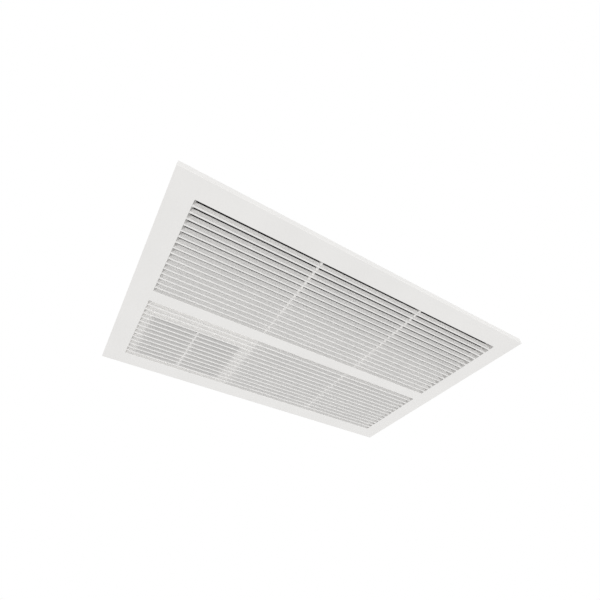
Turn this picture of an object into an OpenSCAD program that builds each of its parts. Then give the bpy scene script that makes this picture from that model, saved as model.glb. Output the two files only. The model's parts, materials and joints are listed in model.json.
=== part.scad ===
// Recessed ceiling fan heater with a flush linear bar grille panel.
// Origin: centre of the panel, in the plane of the ceiling. +Z points up into the void,
// X runs along the grille bars, -Y is the side of the large return grille.

/* [Panel] */
// Length of the panel along the bars
panel_len = 900; // [800:1:1000]
// Flat border at each end of the bars
side_border = 49; // [46:1:60]
// Flat border beside the return grille
near_border = 47; // [46:1:60]
// Flat border beside the outlet grille
far_border = 47; // [46:1:60]
// Width of the return grille opening
return_open_w = 260; // [230:1:300]
// Flat band between the two grilles
band_w = 34; // [32:1:50]
// Width of the outlet grille opening
outlet_open_w = 223; // [215:1:240]
// Depth of the folded panel below the ceiling
panel_h = 15; // [12:0.5:20]
// Thickness of the panel face
panel_t = 2; // [1.5:0.1:3]
// Thickness of the outer lip and the upstands
lip_t = 1.5; // [1:0.1:2]
// Height of the upstands round the openings, from the face
upstand_h = 19; // [18:0.5:22]
// Width of the foam seal inside the outer lip
seal_w = 10; // [6:0.5:11]

/* [Grilles] */
// Width of a grille bar's face
bar_w = 3.8; // [3:0.1:5]
// Depth of a grille bar
bar_h = 13.5; // [12:0.1:15]
// Number of bars in the return grille
return_bars = 16; // [12:1:20]
// Number of bars in the outlet grille
outlet_bars = 13; // [13:1:16]
// Distance from the left end of the bars to the first rib, and between the ribs
rib_pitch = 278; // [265:1:290]
// Thickness of a cross rib
rib_w = 6; // [4:0.1:7]
// Height of the bars' face below a cross rib
rib_recess = 9; // [6:0.1:11]

/* [Warm air outlet] */
// Length of the outlet plate
plate_len = 281; // [278:1:300]
// Thickness of the outlet plate
plate_t = 1.5; // [1:0.1:2]
// Distance from the left end of the bars to the hole
hole_inset = 21; // [20:1:30]
// Length of the hole
hole_len = 230; // [215:1:235]
// Bar above which the hole begins
hole_first_bar = 3; // [3:1:4]
// Number of bar pitches that the hole spans
hole_bars = 10; // [9:1:10]
// Width of the rib that divides the hole
divider_w = 6; // [4:0.1:8]
// Height of the bars' face below the divider
divider_recess = 5.5; // [2:0.1:7]

/* [Filters] */
// Height of a filter frame
filter_h = 10; // [8:0.5:10]
// How far a filter frame laps past its opening
filter_lap = 4.5; // [3.5:0.1:5]
// How far a filter frame's lips reach inside its opening
filter_lip = 4; // [3:0.1:6]
// Sheet thickness of a filter frame
filter_wall = 1.2; // [0.8:0.1:1.5]
// Length of a turning filter clip
clip_len = 35; // [33:1:36]
// Width of a turning filter clip
clip_w = 10; // [8:1:12]
// Thickness of clips and hooks
clip_t = 1.5; // [1:0.1:2]
// Distance between the turning clips
clip_pitch = 300; // [250:1:320]
// Radius of a clip's pivot
clip_pin_r = 3; // [2:0.1:3.5]
// Radius of a clip post and of its head
clip_post_r = 5; // [4.2:0.1:6]
// Distance of the outer hooks from the middle of the panel
hook_x = 370; // [365:1:385]
// Width of a hook
hook_w = 20; // [12:1:24]
// How far a hook reaches over the filter, and the length of its foot
hook_reach = 5; // [3:0.5:8]

/* [Drop hinge] */
// Distance from the panel's outer edge to the hinge rod
pivot_inset = 30.5; // [29.5:0.5:31]
// Height of the hinge rod above the ceiling plane
pivot_z = 18; // [17.5:0.5:20]
// Radius of the hinge rod
rod_r = 3; // [2.5:0.1:3.5]
// Distance of the drop links from the middle of the panel
link_x = 300; // [280:1:315]
// Width of a drop link
link_w = 20; // [14:1:24]
// Thickness of a drop link
link_t = 3; // [2:0.1:4]
// How far the panel drops before it swings
drop = 70; // [50:1:80]
// Height of the guide above the hinge rod
guide_above = 16; // [14:1:20]
// Length of a link guide
guide_h = 100; // [90:1:110]
// Wall of a link guide around its link
guide_wall = 1.5; // [1.2:0.1:3]
// Radius of a link's and an ear's eye
eye_r = 7; // [6:0.1:7.5]
// Thickness of a hinge ear
ear_t = 3; // [2:0.1:4]
// Distance of the magnetic catches from the middle of the panel, towards the near side
catch_y = 210; // [150:1:230]
// Width, length and height of a magnetic catch
catch_size = [14, 40, 12];
// Height of the catches above the ceiling plane
catch_z = 16; // [15:0.5:20]

/* [Casing] */
// How far the panel laps past the casing's ends and far side
casing_lap = 20; // [20:0.5:21]
// How far the panel laps past the casing's near side
near_lap = 37.5; // [35:0.5:38]
// Height of the upright foot of the near side, above which it slopes
knee_z = 60; // [40:1:70]
// Slope of the near side from the upright
slope_a = 29; // [25:0.5:35]
// Height of the casing's lower edge above the ceiling plane
casing_z0 = 10; // [9:0.5:11]
// Sheet thickness of the casing and the blower
sheet = 1.2; // [0.8:0.1:1.5]
// Width of the casing's folds
fold = 15; // [12:0.5:18]
// Thickness of the acoustic lining
lining_t = 10; // [6:1:15]
// Space between the blower and the lining
headroom = 4; // [2:0.5:10]
// Distance between the hanger lugs along Y
lug_pitch = 340; // [280:1:360]
// Middle of the hanger lugs along Y
lug_y = 60; // [50:1:70]
// Width of a hanger lug
lug_w = 40; // [30:1:60]
// Thickness of a hanger lug
lug_t = 2.5; // [2:0.1:4]
// Height of a hanger lug's upper face
lug_z = 230; // [180:1:250]
// Radius of the hole in a hanger lug
lug_hole_r = 4.5; // [3:0.1:5]
// Distance of that hole from the casing
lug_hole_out = 11; // [10:0.5:12]

/* [Blower] */
// Radius over the wheel's blades
wheel_r = 80; // [76:1:84]
// Depth of a blade
blade_depth = 14; // [10:0.5:16]
// Thickness of a blade
blade_t = 0.8; // [0.6:0.1:1.2]
// Number of blades
blades = 36; // [24:1:40]
// Space between the wheel and the tongue of the scroll
tongue_gap = 8; // [6:0.5:10]
// Distance from the wheel's axis to the near side of the outlet
tongue_y = 22; // [18:1:26]
// Space between each end of the wheel and the scroll's side
wheel_side_gap = 12; // [12:0.5:16]
// Radius of the inlets' throat
throat_r = 60; // [56:0.5:62]
// Radius of the inlets' rounding
bell_r = 9; // [8:0.5:9.5]
// Radius of the motor
motor_r = 40.5; // [36:0.5:44]
// Length of the motor
motor_len = 90; // [80:1:96]
// How far the motor stands out of the scroll
motor_out = 35; // [30:1:40]
// Radius of the shaft
shaft_r = 6.35; // [5:0.05:7]
// Height of the rubber grommets under the motor arms
grommet_h = 6; // [4:0.5:8]
// Distance of the grommets from the wheel's axis
grommet_dist = 90; // [89:0.5:92]

/* [Heater] */
// Height of the duct's upper flange above the ceiling plane
duct_top_z = 62; // [58:1:70]
// Height of the gasket between the duct and the outlet plate
gasket_h = 8.7; // [8:0.1:10]
// Clearance round the hole inside the duct
duct_gap = 1; // [0.5:0.1:2]
// Radius of a heating element's sheath
element_r = 4.25; // [3.5:0.05:5]
// Radius of its fins
fin_r = 12; // [9:0.5:12.5]
// Thickness of a fin
fin_t = 0.5; // [0.4:0.1:1]
// Distance between fins
fin_pitch = 7; // [5:0.5:12]
// Distance between the legs of the elements
leg_pitch = 27; // [26.5:0.1:27.2]
// Height of the elements above the ceiling plane
element_z = 36; // [32:1:38]

/* [Electrical box] */
// Depth of the box from the casing's end
elbox_d = 91; // [85:1:110]
// Length of the box along Y
elbox_w = 240; // [225:1:260]
// Height of the box
elbox_h = 140; // [130:1:160]
// Height of the lid above the ceiling plane
elbox_z0 = 110; // [100:1:115]
// Length and height of the terminal block
block_size = [28, 30];
// Length, width and height of the contactor's body
contactor_size = [45, 56, 46];
// Radius of the run capacitor
capacitor_r = 16; // [12:0.5:18]
// Length of the run capacitor
capacitor_len = 66; // [50:1:80]
// Travel of the reset button
reset_travel = 2.5; // [1:0.1:3]
// Radius of the reset button's stem
reset_r = 3.4; // [2.5:0.1:4]
// Radius of the cable gland's bore
gland_bore_r = 6.5; // [4:0.1:7.5]

/* [Clearances] */
// Gap between pieces that slide or stand beside each other
gap = 0.3; // [0.3:0.05:0.5]
// Radial clearance of a running shaft or pin
running = 0.05; // [0.02:0.01:0.1]
// Clearance of a notch or slot that fits over a fixed bar
snug = 0.1; // [0.05:0.05:0.3]

/* [Hidden] */
$fn = 48;
eps = 1;

white = [0.91, 0.91, 0.9];
zinc = [0.74, 0.76, 0.78];
steel = [0.6, 0.61, 0.63];
black = [0.07, 0.07, 0.08];
nylon = [0.82, 0.81, 0.77];

// Panel
panel_wid = near_border + return_open_w + band_w + outlet_open_w + far_border;
panel_x = panel_len / 2;
panel_y = panel_wid / 2;
face_z = -panel_h;
sheet_z = face_z + panel_t;
seat_z = face_z + upstand_h;
open_x = panel_x - side_border;
return_y0 = -panel_y + near_border;
return_y1 = return_y0 + return_open_w;
outlet_y0 = return_y1 + band_w;
outlet_y1 = outlet_y0 + outlet_open_w;
band_y = (return_y1 + outlet_y0) / 2;

// Grilles
bar_top = face_z + bar_h;
return_pitch = (return_open_w + bar_w) / (return_bars + 1);
outlet_pitch = (outlet_open_w + bar_w) / (outlet_bars + 1);
rib_x = [-open_x + rib_pitch, -open_x + 2 * rib_pitch];
rib_z0 = face_z + rib_recess;

// Warm air outlet
plate_x0 = -open_x + gap;
plate_x1 = -open_x + plate_len;
plate_top = bar_top + plate_t;
hole_x0 = -open_x + hole_inset;
hole_x1 = hole_x0 + hole_len;
hole_x = (hole_x0 + hole_x1) / 2;
hole_y0 = outlet_y0 + hole_first_bar * outlet_pitch - bar_w / 2;
hole_y1 = hole_y0 + hole_bars * outlet_pitch;

// Filters: [x0, x1, y0, y1] of the opening that each one covers
side_filter_x0 = plate_x1 + 1.5;
return_filter = [-open_x, open_x, return_y0, return_y1];
side_filter = [side_filter_x0, open_x, outlet_y0, outlet_y1];
filter_top = seat_z + filter_h;
clip_z = filter_top + gap;
clip_head_h = 1.5;
clip_x = [-clip_pitch, 0, clip_pitch];
near_hooks = [-hook_x, 0, hook_x];
far_hooks = [(side_filter_x0 + open_x) / 2, hook_x];

// Casing
casing_x = panel_x - casing_lap;
casing_y = panel_y - casing_lap;
near_y = -panel_y + near_lap;
inner_x = casing_x - sheet;
inner_y = casing_y - sheet;

// Drop hinge
pivot_y = panel_y - pivot_inset;
guide_z0 = pivot_z + guide_above;
guide_top = guide_z0 + guide_h;
link_head_z = guide_top + drop + gap;
link_head_h = 6;
link_head_w = link_w + 8;
link_slot = link_t / 2 + gap;
guide_y0 = pivot_y - link_slot - guide_wall;
window_w = link_w / 2;
ear_x0 = link_x + link_w / 2 + 0.5;
ear_x1 = ear_x0 + ear_t;
ear_foot = 18;
clip_ring_t = 1.2;
clip_ring_x = ear_x1 + gap;
rod_end = clip_ring_x + clip_ring_t + 2;
notch_side = 2.5;
notch_top = pivot_z + eye_r + 5;
strike_foot = 9;

// Blower
wheel_x = hole_x;
wheel_y = hole_y0 + tongue_y;
cut_r = wheel_r + tongue_gap;
cut_a = asin(tongue_y / cut_r);
tongue_h = 2.8;
wheel_z = duct_top_z + tongue_h + cut_r * cos(cut_a);
scroll_end_r = hole_y1 - wheel_y;
scroll_steps = 24;
scroll_angles = [for (i = [0:scroll_steps]) cut_a + (270 - cut_a) * i / scroll_steps];
scroll_rim = 3;
rim_angles = [for (a = scroll_angles) if (a > cut_a + 20) a];
wrap_t = 1;
scroll_flange = 12;
scroll_top = wheel_z + scroll_r(180) + scroll_rim;
wheel_x0 = hole_x0 + wheel_side_gap;
wheel_x1 = hole_x1 - wheel_side_gap;
ring_t = 2;
ring_over = 0.5;
blade_in_r = wheel_r - blade_depth;
blade_curl = 6;
blade_steps = 4;
hub_r = 14;
hub_x0 = wheel_x - 13;
hub_x1 = wheel_x + 13;
hub_flange_r = 22;
hub_flange_t = 3;
side_x0 = hole_x0 - sheet;
side_x1 = hole_x1 + sheet;
inlet_hole_r = throat_r + bell_r + gap;
inlet_flange_r = inlet_hole_r + 10.7;
inlet_lip = 2.5;
motor_x1 = hole_x1 + motor_out;
motor_x0 = motor_x1 - motor_len;
motor_x = (motor_x0 + motor_x1) / 2;
motor_wall = 2.2;
cap_t = 3;
bearing_r = 11;
bearing_w = 8;
boss_r = 14;
boss_len = 10;
core_r = 24;
core_len = 44;
stator_len = 48;
air_gap = 0.5;
winding_len = 8;
arm_x = side_x1 + grommet_h;
arm_t = 3;
arm_w = 16;
arm_band_w = 16;
arm_angles = [60, 180, 300];
grommet_r = 7;

// Casing top, over the blower
casing_top_z = scroll_top + headroom + lining_t + sheet;
roof_z = casing_top_z - sheet;
hanger_t = 2;
hanger_w = 60;
hanger_foot = 16;
hanger_z0 = wheel_z + grommet_dist + grommet_r + 2;
roof_y = slope_y(0, roof_z);
lining_x0 = -inner_x + fold + 4;
lining_x1 = inner_x - elbox_d - 8;
lining_y0 = slope_y(sheet, roof_z) + fold + 2;
lining_y1 = inner_y - fold - 2;
lining_low_z = knee_z + 6;
lining_high_z = roof_z - lining_t - 8;

// Screws: one size of sheet metal screw holds the casing, the duct and the lid
screw_r = 1.6;
screw_head_r = 3.5;
screw_head_h = 2;
screw_len = 9;
corner_screw_z = [60, 150, 240];
near_screw_z = 38;
slope_screw_z = [110, 200];
roof_screw_x = [-300, 0, 300];
roof_screw_y = [-60, 150];
flange_screw_y = [38, 124];
fold_mid = fold / 2;

// Heater
duct_x0 = hole_x0 - duct_gap;
duct_x1 = hole_x1 + duct_gap;
duct_y0 = hole_y0 - duct_gap;
duct_y1 = hole_y1 + duct_gap;
duct_z0 = plate_top + gap + gasket_h;
duct_foot = 8;
element_y = (duct_y0 + duct_y1) / 2;
leg_mid = leg_pitch / 2;
bend_x = duct_x0 + 29;
leg_end = duct_x1 + sheet + 7.8;
fin_from = 18;
fin_to = 18;
bush_r = 8;
bush_t = 3;
stud_r = 1.5;
stud_len = 8;
comb_x = bend_x + 11;
comb_h = 24;
leg_hole_r = element_r + 0.2;
cover_d = 30;
cover_y0 = duct_y0 + 3;
cover_y1 = duct_y1 - 3;
cover_z0 = element_z - 14;
cover_h = 28;

// Electrical box
elbox_x0 = inner_x - elbox_d;
elbox_y = elbox_w / 2;
elbox_top = elbox_z0 + elbox_h;
elbox_lip = 10;
block_inset = 14;
block_ways = 5;
block_way = 12;
block_rib = 1.5;
block_entry = 10;
block_entry_h = 16;
contactor_inset = 10;
contactor_y = -20;
contactor_poles = 4;
contactor_pad = [8, 9, 5];
armature_size = [25, 44, 16];
capacitor_y = -8;
capacitor_stud_r = 4;
capacitor_stud_len = 9;
lid_screw_x = [elbox_x0 + 14, inner_x - 14];
reset_x = elbox_x0 + 34;
reset_y = 82;
neck_r = reset_r + running + 1.6;
neck_len = 6;
cutout_h = 22;
gland_y = -70;
gland_z = elbox_z0 + elbox_h / 2;
gland_r = 10;
gland_hole_r = gland_r + 0.2;
gland_hex_r = 14;
gland_out = 18;

// Internal leads: sleeve and bend radii, distance of each drop from the lead's lower end
heater_lead_r = 6;
heater_lead_bend = 22;
heater_lead_drop = 50;
heater_lead_y = hole_y0 + 16;
heater_lead_z = elbox_z0 + 15;
motor_lead_r = 4;
motor_lead_bend = 12;
motor_lead_drop = 30;
motor_lead_z = wheel_z + motor_r + 10;
motor_entry_z = wheel_z + motor_r - 16;

// Y of the near side's slope at height z, set in by t from its outer face
function slope_y(t, z) = near_y + t / cos(slope_a) + (z - knee_z) * tan(slope_a);

// Section of the casing, set in by t, from bottom to top
function casing_pts(t, bottom, top) = [[near_y + t, bottom],
    [near_y + t, knee_z - t * tan(slope_a / 2)], [slope_y(t, top), top],
    [casing_y - t, top], [casing_y - t, bottom]];

function scroll_r(a) = cut_r + (scroll_end_r - cut_r) * (a - cut_a) / (270 - cut_a);

// Point of the scroll, a degrees from straight down, turning towards -Y
function scroll_pt(a, grow) =
    [wheel_y - (scroll_r(a) + grow) * sin(a), wheel_z - (scroll_r(a) + grow) * cos(a)];

// ---------------------------------------------------------------- helpers

// Box given by its lowest and highest corners
module block(low, high) {
    translate(low)
        cube(high - low);
}

// Outline drawn in (Y, Z), t thick, from x on
module yz_plate(x, t) {
    translate([x, 0, 0])
        rotate([90, 0, 90])
            linear_extrude(t)
                children();
}

// Outline drawn in (X, Z), t thick, from y on
module xz_plate(y, t) {
    translate([0, y + t, 0])
        rotate([90, 0, 0])
            linear_extrude(t)
                children();
}

// Something turned about the blower's axis, its own Z along X, from x on
module on_axis(x) {
    translate([x, wheel_y, wheel_z])
        rotate([0, 90, 0])
            children();
}

module tube(outer, inner, h) {
    difference() {
        cylinder(r = outer, h = h);
        translate([0, 0, -eps])
            cylinder(r = inner, h = h + 2 * eps);
    }
}

// Copy on both sides of the middle of the panel
module both_ends() {
    children();
    mirror([1, 0, 0])
        children();
}

// Copy on both sides of the blower
module both_inlets() {
    children();
    translate([2 * wheel_x, 0, 0])
        mirror([1, 0, 0])
            children();
}

// ---------------------------------------------------------------- screws

module screw() {
    cylinder(r = screw_head_r, h = screw_head_h);
    translate([0, 0, -screw_len])
        cylinder(r = screw_r, h = screw_len);
}

module screw_hole() {
    translate([0, 0, -screw_len - eps])
        cylinder(r = screw_r + snug, h = screw_len + 2 * eps);
}

module corner_screw_spots() {
    for (sx = [-1, 1]) {
        for (z = corner_screw_z)
            translate([sx * (inner_x - fold_mid), casing_y, z])
                rotate([-90, 0, 0])
                    children();
        translate([sx * (inner_x - fold_mid), near_y, near_screw_z])
            rotate([90, 0, 0])
                children();
        for (z = slope_screw_z)
            translate([sx * (inner_x - fold_mid), slope_y(0, z), z])
                rotate([90 - slope_a, 0, 0])
                    children();
    }
}

module roof_screw_spots() {
    for (y = [slope_y(sheet, roof_z) + fold_mid, inner_y - fold_mid], x = roof_screw_x)
        translate([x, y, casing_top_z])
            children();
    for (sx = [-1, 1], y = roof_screw_y)
        translate([sx * (inner_x - fold_mid), y, casing_top_z])
            children();
}

module hanger_screw_spots() {
    for (sy = [-1, 1])
        translate([0, wheel_y + sy * hanger_w / 3, casing_top_z]) {
            translate([side_x0 - hanger_foot / 2, 0, 0])
                children();
            translate([side_x1 + hanger_foot / 2, 0, 0])
                children();
        }
}

module flange_screw_spots() {
    for (y = flange_screw_y)
        translate([0, hole_y0 + y, duct_top_z + sheet]) {
            translate([side_x0 - scroll_flange / 2 - 1, 0, 0])
                children();
            translate([side_x1 + scroll_flange / 2 + 1, 0, 0])
                children();
        }
}

module lid_screw_spots() {
    for (x = lid_screw_x, sy = [-1, 1])
        translate([x, sy * (elbox_y - sheet - elbox_lip / 2), elbox_z0 - sheet])
            rotate([180, 0, 0])
                children();
}

module sheet_metal_screws() {
    color(steel) {
        corner_screw_spots() screw();
        roof_screw_spots() screw();
        hanger_screw_spots() screw();
        flange_screw_spots() screw();
        lid_screw_spots() screw();
    }
}

// ---------------------------------------------------------------- panel

module openings(grow) {
    for (y = [[return_y0, return_y1], [outlet_y0, outlet_y1]])
        translate([-open_x - grow, y[0] - grow])
            square([2 * (open_x + grow), y[1] - y[0] + 2 * grow]);
}

module centred_rect(x, y) {
    translate([-x, -y])
        square([2 * x, 2 * y]);
}

module panel_frame() {
    color(white) {
        translate([0, 0, face_z])
            linear_extrude(panel_t)
                difference() {
                    centred_rect(panel_x, panel_y);
                    openings(0);
                }
        translate([0, 0, face_z])
            linear_extrude(panel_h)
                difference() {
                    centred_rect(panel_x, panel_y);
                    centred_rect(panel_x - lip_t, panel_y - lip_t);
                }
        translate([0, 0, face_z])
            linear_extrude(upstand_h)
                difference() {
                    openings(lip_t);
                    openings(0);
                }
    }
}

// Bars from the opening's near edge on, notched from behind where the ribs cross them
module bars(y0, count, pitch) {
    for (i = [1:count])
        difference() {
            block([-open_x, y0 + i * pitch - bar_w, face_z], [open_x, y0 + i * pitch, bar_top]);
            for (x = rib_x)
                block([x - rib_w / 2 - snug, y0 + i * pitch - bar_w - eps, rib_z0],
                    [x + rib_w / 2 + snug, y0 + i * pitch + eps, bar_top + eps]);
        }
}

module return_grille_bars() {
    color(white)
        bars(return_y0, return_bars, return_pitch);
}

module outlet_grille_bars() {
    color(white)
        bars(outlet_y0, outlet_bars, outlet_pitch);
}

// Ribs between the upstands: those of the return grille reach up to its filter
module grille_ribs() {
    color(white)
        for (x = rib_x) {
            block([x - rib_w / 2, return_y0, rib_z0], [x + rib_w / 2, return_y1, seat_z - gap]);
            block([x - rib_w / 2, outlet_y0, rib_z0], [x + rib_w / 2, outlet_y1, bar_top]);
        }
}

module outlet_plate() {
    color(white)
        difference() {
            block([plate_x0, outlet_y0 + gap, bar_top], [plate_x1, outlet_y1 - gap, plate_top]);
            block([hole_x0, hole_y0, bar_top - eps], [hole_x1, hole_y1, plate_top + eps]);
        }
}

// Comb whose back joins the edges of the hole and whose teeth fill the slots between bars
module outlet_divider() {
    color(white)
        difference() {
            block([hole_x - divider_w / 2, hole_y0, face_z + divider_recess],
                [hole_x + divider_w / 2, hole_y1, plate_top]);
            for (i = [hole_first_bar:hole_first_bar + hole_bars])
                block([hole_x - divider_w, outlet_y0 + i * outlet_pitch - bar_w - snug, face_z - eps],
                    [hole_x + divider_w, outlet_y0 + i * outlet_pitch + snug, bar_top]);
        }
}

// Channel frame round a filter, o = [x0, x1, y0, y1] of its opening
module filter_frame(o) {
    lap = filter_lap;
    difference() {
        block([o[0] - lap, o[2] - lap, seat_z], [o[1] + lap, o[3] + lap, filter_top]);
        block([o[0] + filter_lip, o[2] + filter_lip, seat_z - eps],
            [o[1] - filter_lip, o[3] - filter_lip, filter_top + eps]);
        block([o[0] - lap + filter_wall, o[2] - lap + filter_wall, seat_z + filter_wall],
            [o[1] + lap - filter_wall, o[3] + lap - filter_wall, filter_top - filter_wall]);
    }
}

module filter_media(o) {
    inset = filter_lap - filter_wall - gap;
    block([o[0] - inset, o[2] - inset, seat_z + filter_wall],
        [o[1] + inset, o[3] + inset, filter_top - filter_wall]);
}

module return_filter_frame() {
    color(zinc)
        filter_frame(return_filter);
}

module return_filter_media() {
    color(black)
        filter_media(return_filter);
}

module side_filter_frame() {
    color(zinc)
        filter_frame(side_filter);
}

module side_filter_media() {
    color(black)
        filter_media(side_filter);
}

// Bent hook whose leg stands beside the edge at y and reaches over the filter; out is +1 or -1
module hook(x, y, out) {
    leg = y + out * gap;
    ys = [leg, leg + out * clip_t];
    reach = y - out * hook_reach;
    foot = leg + out * (clip_t + 2 * hook_reach);
    block([x - hook_w / 2, min(ys), sheet_z], [x + hook_w / 2, max(ys), clip_z + clip_t]);
    block([x - hook_w / 2, min(reach, ys[1]), clip_z],
        [x + hook_w / 2, max(reach, ys[1]), clip_z + clip_t]);
    block([x - hook_w / 2, min(foot, ys[0]), sheet_z],
        [x + hook_w / 2, max(foot, ys[0]), sheet_z + clip_t]);
}

module filter_hooks() {
    color(zinc) {
        for (x = near_hooks)
            hook(x, return_y0 - filter_lap, -1);
        for (x = far_hooks)
            hook(x, outlet_y1 + filter_lap, 1);
    }
}

module filter_clip_posts() {
    color(zinc)
        for (x = clip_x)
            translate([x, band_y, 0]) {
                translate([0, 0, sheet_z])
                    cylinder(r = clip_post_r, h = clip_z - gap - sheet_z);
                translate([0, 0, clip_z - gap])
                    cylinder(r = clip_pin_r, h = clip_t + 2 * gap);
                translate([0, 0, clip_z + clip_t + gap])
                    cylinder(r = clip_post_r, h = clip_head_h);
            }
}

module filter_clip(x) {
    color(zinc)
        translate([x, band_y, clip_z])
            difference() {
                translate([-clip_w / 2, -clip_len / 2, 0])
                    cube([clip_w, clip_len, clip_t]);
                translate([0, 0, -eps])
                    cylinder(r = clip_pin_r + running, h = clip_t + 2 * eps);
            }
}

module filter_clip_left() { filter_clip(clip_x[0]); }
module filter_clip_middle() { filter_clip(clip_x[1]); }
module filter_clip_right() { filter_clip(clip_x[2]); }

module ceiling_seal() {
    color(black)
        translate([0, 0, sheet_z])
            linear_extrude(-sheet_z)
                difference() {
                    centred_rect(panel_x - lip_t, panel_y - lip_t);
                    centred_rect(panel_x - lip_t - seal_w, panel_y - lip_t - seal_w);
                }
}

// ---------------------------------------------------------------- drop hinge

module hinge_ears() {
    color(zinc)
        both_ends() {
            yz_plate(ear_x0, ear_t)
                difference() {
                    union() {
                        translate([pivot_y - eye_r, sheet_z])
                            square([2 * eye_r, pivot_z - sheet_z]);
                        translate([pivot_y, pivot_z])
                            circle(r = eye_r);
                    }
                    translate([pivot_y, pivot_z])
                        circle(r = rod_r + running);
                }
            block([ear_x0, pivot_y - eye_r, sheet_z],
                [ear_x0 + ear_foot, pivot_y + eye_r, sheet_z + clip_t]);
        }
}

module hinge_rod() {
    color(steel)
        translate([-rod_end, pivot_y, pivot_z])
            rotate([0, 90, 0])
                cylinder(r = rod_r, h = 2 * rod_end);
}

module hinge_rod_clips() {
    color(steel)
        both_ends()
            translate([clip_ring_x, pivot_y, pivot_z])
                rotate([0, 90, 0])
                    tube(2 * rod_r, rod_r + running, clip_ring_t);
}

// Flat link with an eye on the rod and a head that stops it on top of its guide
module drop_links() {
    color(zinc)
        both_ends()
            difference() {
                union() {
                    block([link_x - link_w / 2, pivot_y - link_t / 2, pivot_z],
                        [link_x + link_w / 2, pivot_y + link_t / 2, link_head_z + link_head_h]);
                    block([link_x - link_head_w / 2, pivot_y - link_t / 2, link_head_z],
                        [link_x + link_head_w / 2, pivot_y + link_t / 2, link_head_z + link_head_h]);
                    translate([link_x - link_w / 2, pivot_y, pivot_z])
                        rotate([0, 90, 0])
                            cylinder(r = eye_r, h = link_w);
                }
                translate([link_x - link_w, pivot_y, pivot_z])
                    rotate([0, 90, 0])
                        cylinder(r = rod_r + running, h = 2 * link_w);
            }
}

module link_guides() {
    half = link_w / 2 + gap + guide_wall;
    color(nylon)
        both_ends()
            difference() {
                block([link_x - half, guide_y0, guide_z0], [link_x + half, inner_y, guide_top]);
                block([link_x - link_w / 2 - gap, pivot_y - link_slot, guide_z0 - eps],
                    [link_x + link_w / 2 + gap, pivot_y + link_slot, guide_top + eps]);
                block([link_x - window_w / 2, guide_y0 - eps, guide_z0 - eps],
                    [link_x + window_w / 2, pivot_y, guide_top + eps]);
            }
}

module magnetic_catches() {
    groove = 1.5;
    color(black)
        both_ends()
            difference() {
                block([inner_x - catch_size[0], -catch_y - catch_size[1] / 2, catch_z],
                    [inner_x, -catch_y + catch_size[1] / 2, catch_z + catch_size[2]]);
                for (x = [4, catch_size[0] - 4 - groove])
                    block([inner_x - catch_size[0] + x, -catch_y - catch_size[1], catch_z - eps],
                        [inner_x - catch_size[0] + x + groove, -catch_y + catch_size[1],
                            catch_z + groove]);
            }
}

// Bent steel strike that meets the magnets' lower face
module catch_strikes() {
    y0 = -catch_y - catch_size[1] / 2;
    y1 = -catch_y + catch_size[1] / 2;
    leg = inner_x - catch_size[0] / 2;
    top = catch_z - gap;
    color(zinc)
        both_ends() {
            block([leg - clip_t, y0, sheet_z], [leg, y1, top]);
            block([inner_x - catch_size[0], y0, top - clip_t], [inner_x - gap - clip_t / 2, y1, top]);
            block([leg - clip_t, y0, sheet_z], [leg + strike_foot, y1, sheet_z + clip_t]);
        }
}

// ---------------------------------------------------------------- casing

module casing_top() {
    color(zinc)
        difference() {
            block([-casing_x, roof_y, roof_z], [casing_x, casing_y, casing_top_z]);
            roof_screw_spots() screw_hole();
            hanger_screw_spots() screw_hole();
        }
}

// Near side: an upright foot, a slope above it and a fold under the roof
module casing_side_near() {
    outer = casing_pts(0, casing_z0, roof_z);
    inner = casing_pts(sheet, casing_z0, roof_z);
    fold_x = inner_x - fold - eps;
    color(zinc)
        difference() {
            union() {
                yz_plate(-casing_x, 2 * casing_x)
                    polygon([outer[0], outer[1], outer[2], inner[2], inner[1], inner[0]]);
                block([-fold_x, slope_y(sheet / 2, roof_z), roof_z - sheet],
                    [fold_x, slope_y(sheet, roof_z) + fold, roof_z]);
            }
            corner_screw_spots() screw_hole();
            roof_screw_spots() screw_hole();
        }
}

// Far side, notched where the hinge ears swing through it
module casing_side_far() {
    fold_x = inner_x - fold - eps;
    color(zinc)
        difference() {
            union() {
                block([-casing_x, inner_y, casing_z0], [casing_x, casing_y, roof_z]);
                block([-fold_x, inner_y - fold, roof_z - sheet], [fold_x, inner_y + sheet / 2, roof_z]);
            }
            corner_screw_spots() screw_hole();
            roof_screw_spots() screw_hole();
            both_ends()
                block([ear_x0 - notch_side, inner_y - eps, casing_z0 - eps],
                    [rod_end + notch_side, casing_y + eps, notch_top]);
        }
}

// End of the casing, folded inwards along its sides and its top
module casing_end() {
    difference() {
        yz_plate(inner_x - fold, fold + sheet)
            polygon(casing_pts(sheet, casing_z0, roof_z));
        yz_plate(inner_x - fold - eps, fold + eps)
            polygon(casing_pts(2 * sheet, casing_z0 - eps, roof_z - sheet));
        corner_screw_spots() screw_hole();
        roof_screw_spots() screw_hole();
    }
}

module casing_end_left() {
    color(zinc)
        mirror([1, 0, 0])
            casing_end();
}

module casing_end_right() {
    color(zinc)
        difference() {
            casing_end();
            gland_hole();
        }
}

// Angle lugs welded to both ends; threaded rods pass through their upper legs
module hanger_lugs() {
    leg = 40;
    color(steel)
        both_ends()
            for (y = [lug_y - lug_pitch / 2, lug_y + lug_pitch / 2])
                difference() {
                    union() {
                        block([casing_x, y - lug_w / 2, lug_z - leg],
                            [casing_x + lug_t, y + lug_w / 2, lug_z]);
                        block([casing_x, y - lug_w / 2, lug_z - lug_t], [panel_x, y + lug_w / 2, lug_z]);
                    }
                    translate([casing_x + lug_hole_out, y, lug_z - lug_t - eps])
                        cylinder(r = lug_hole_r, h = lug_t + 2 * eps);
                }
}

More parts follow.
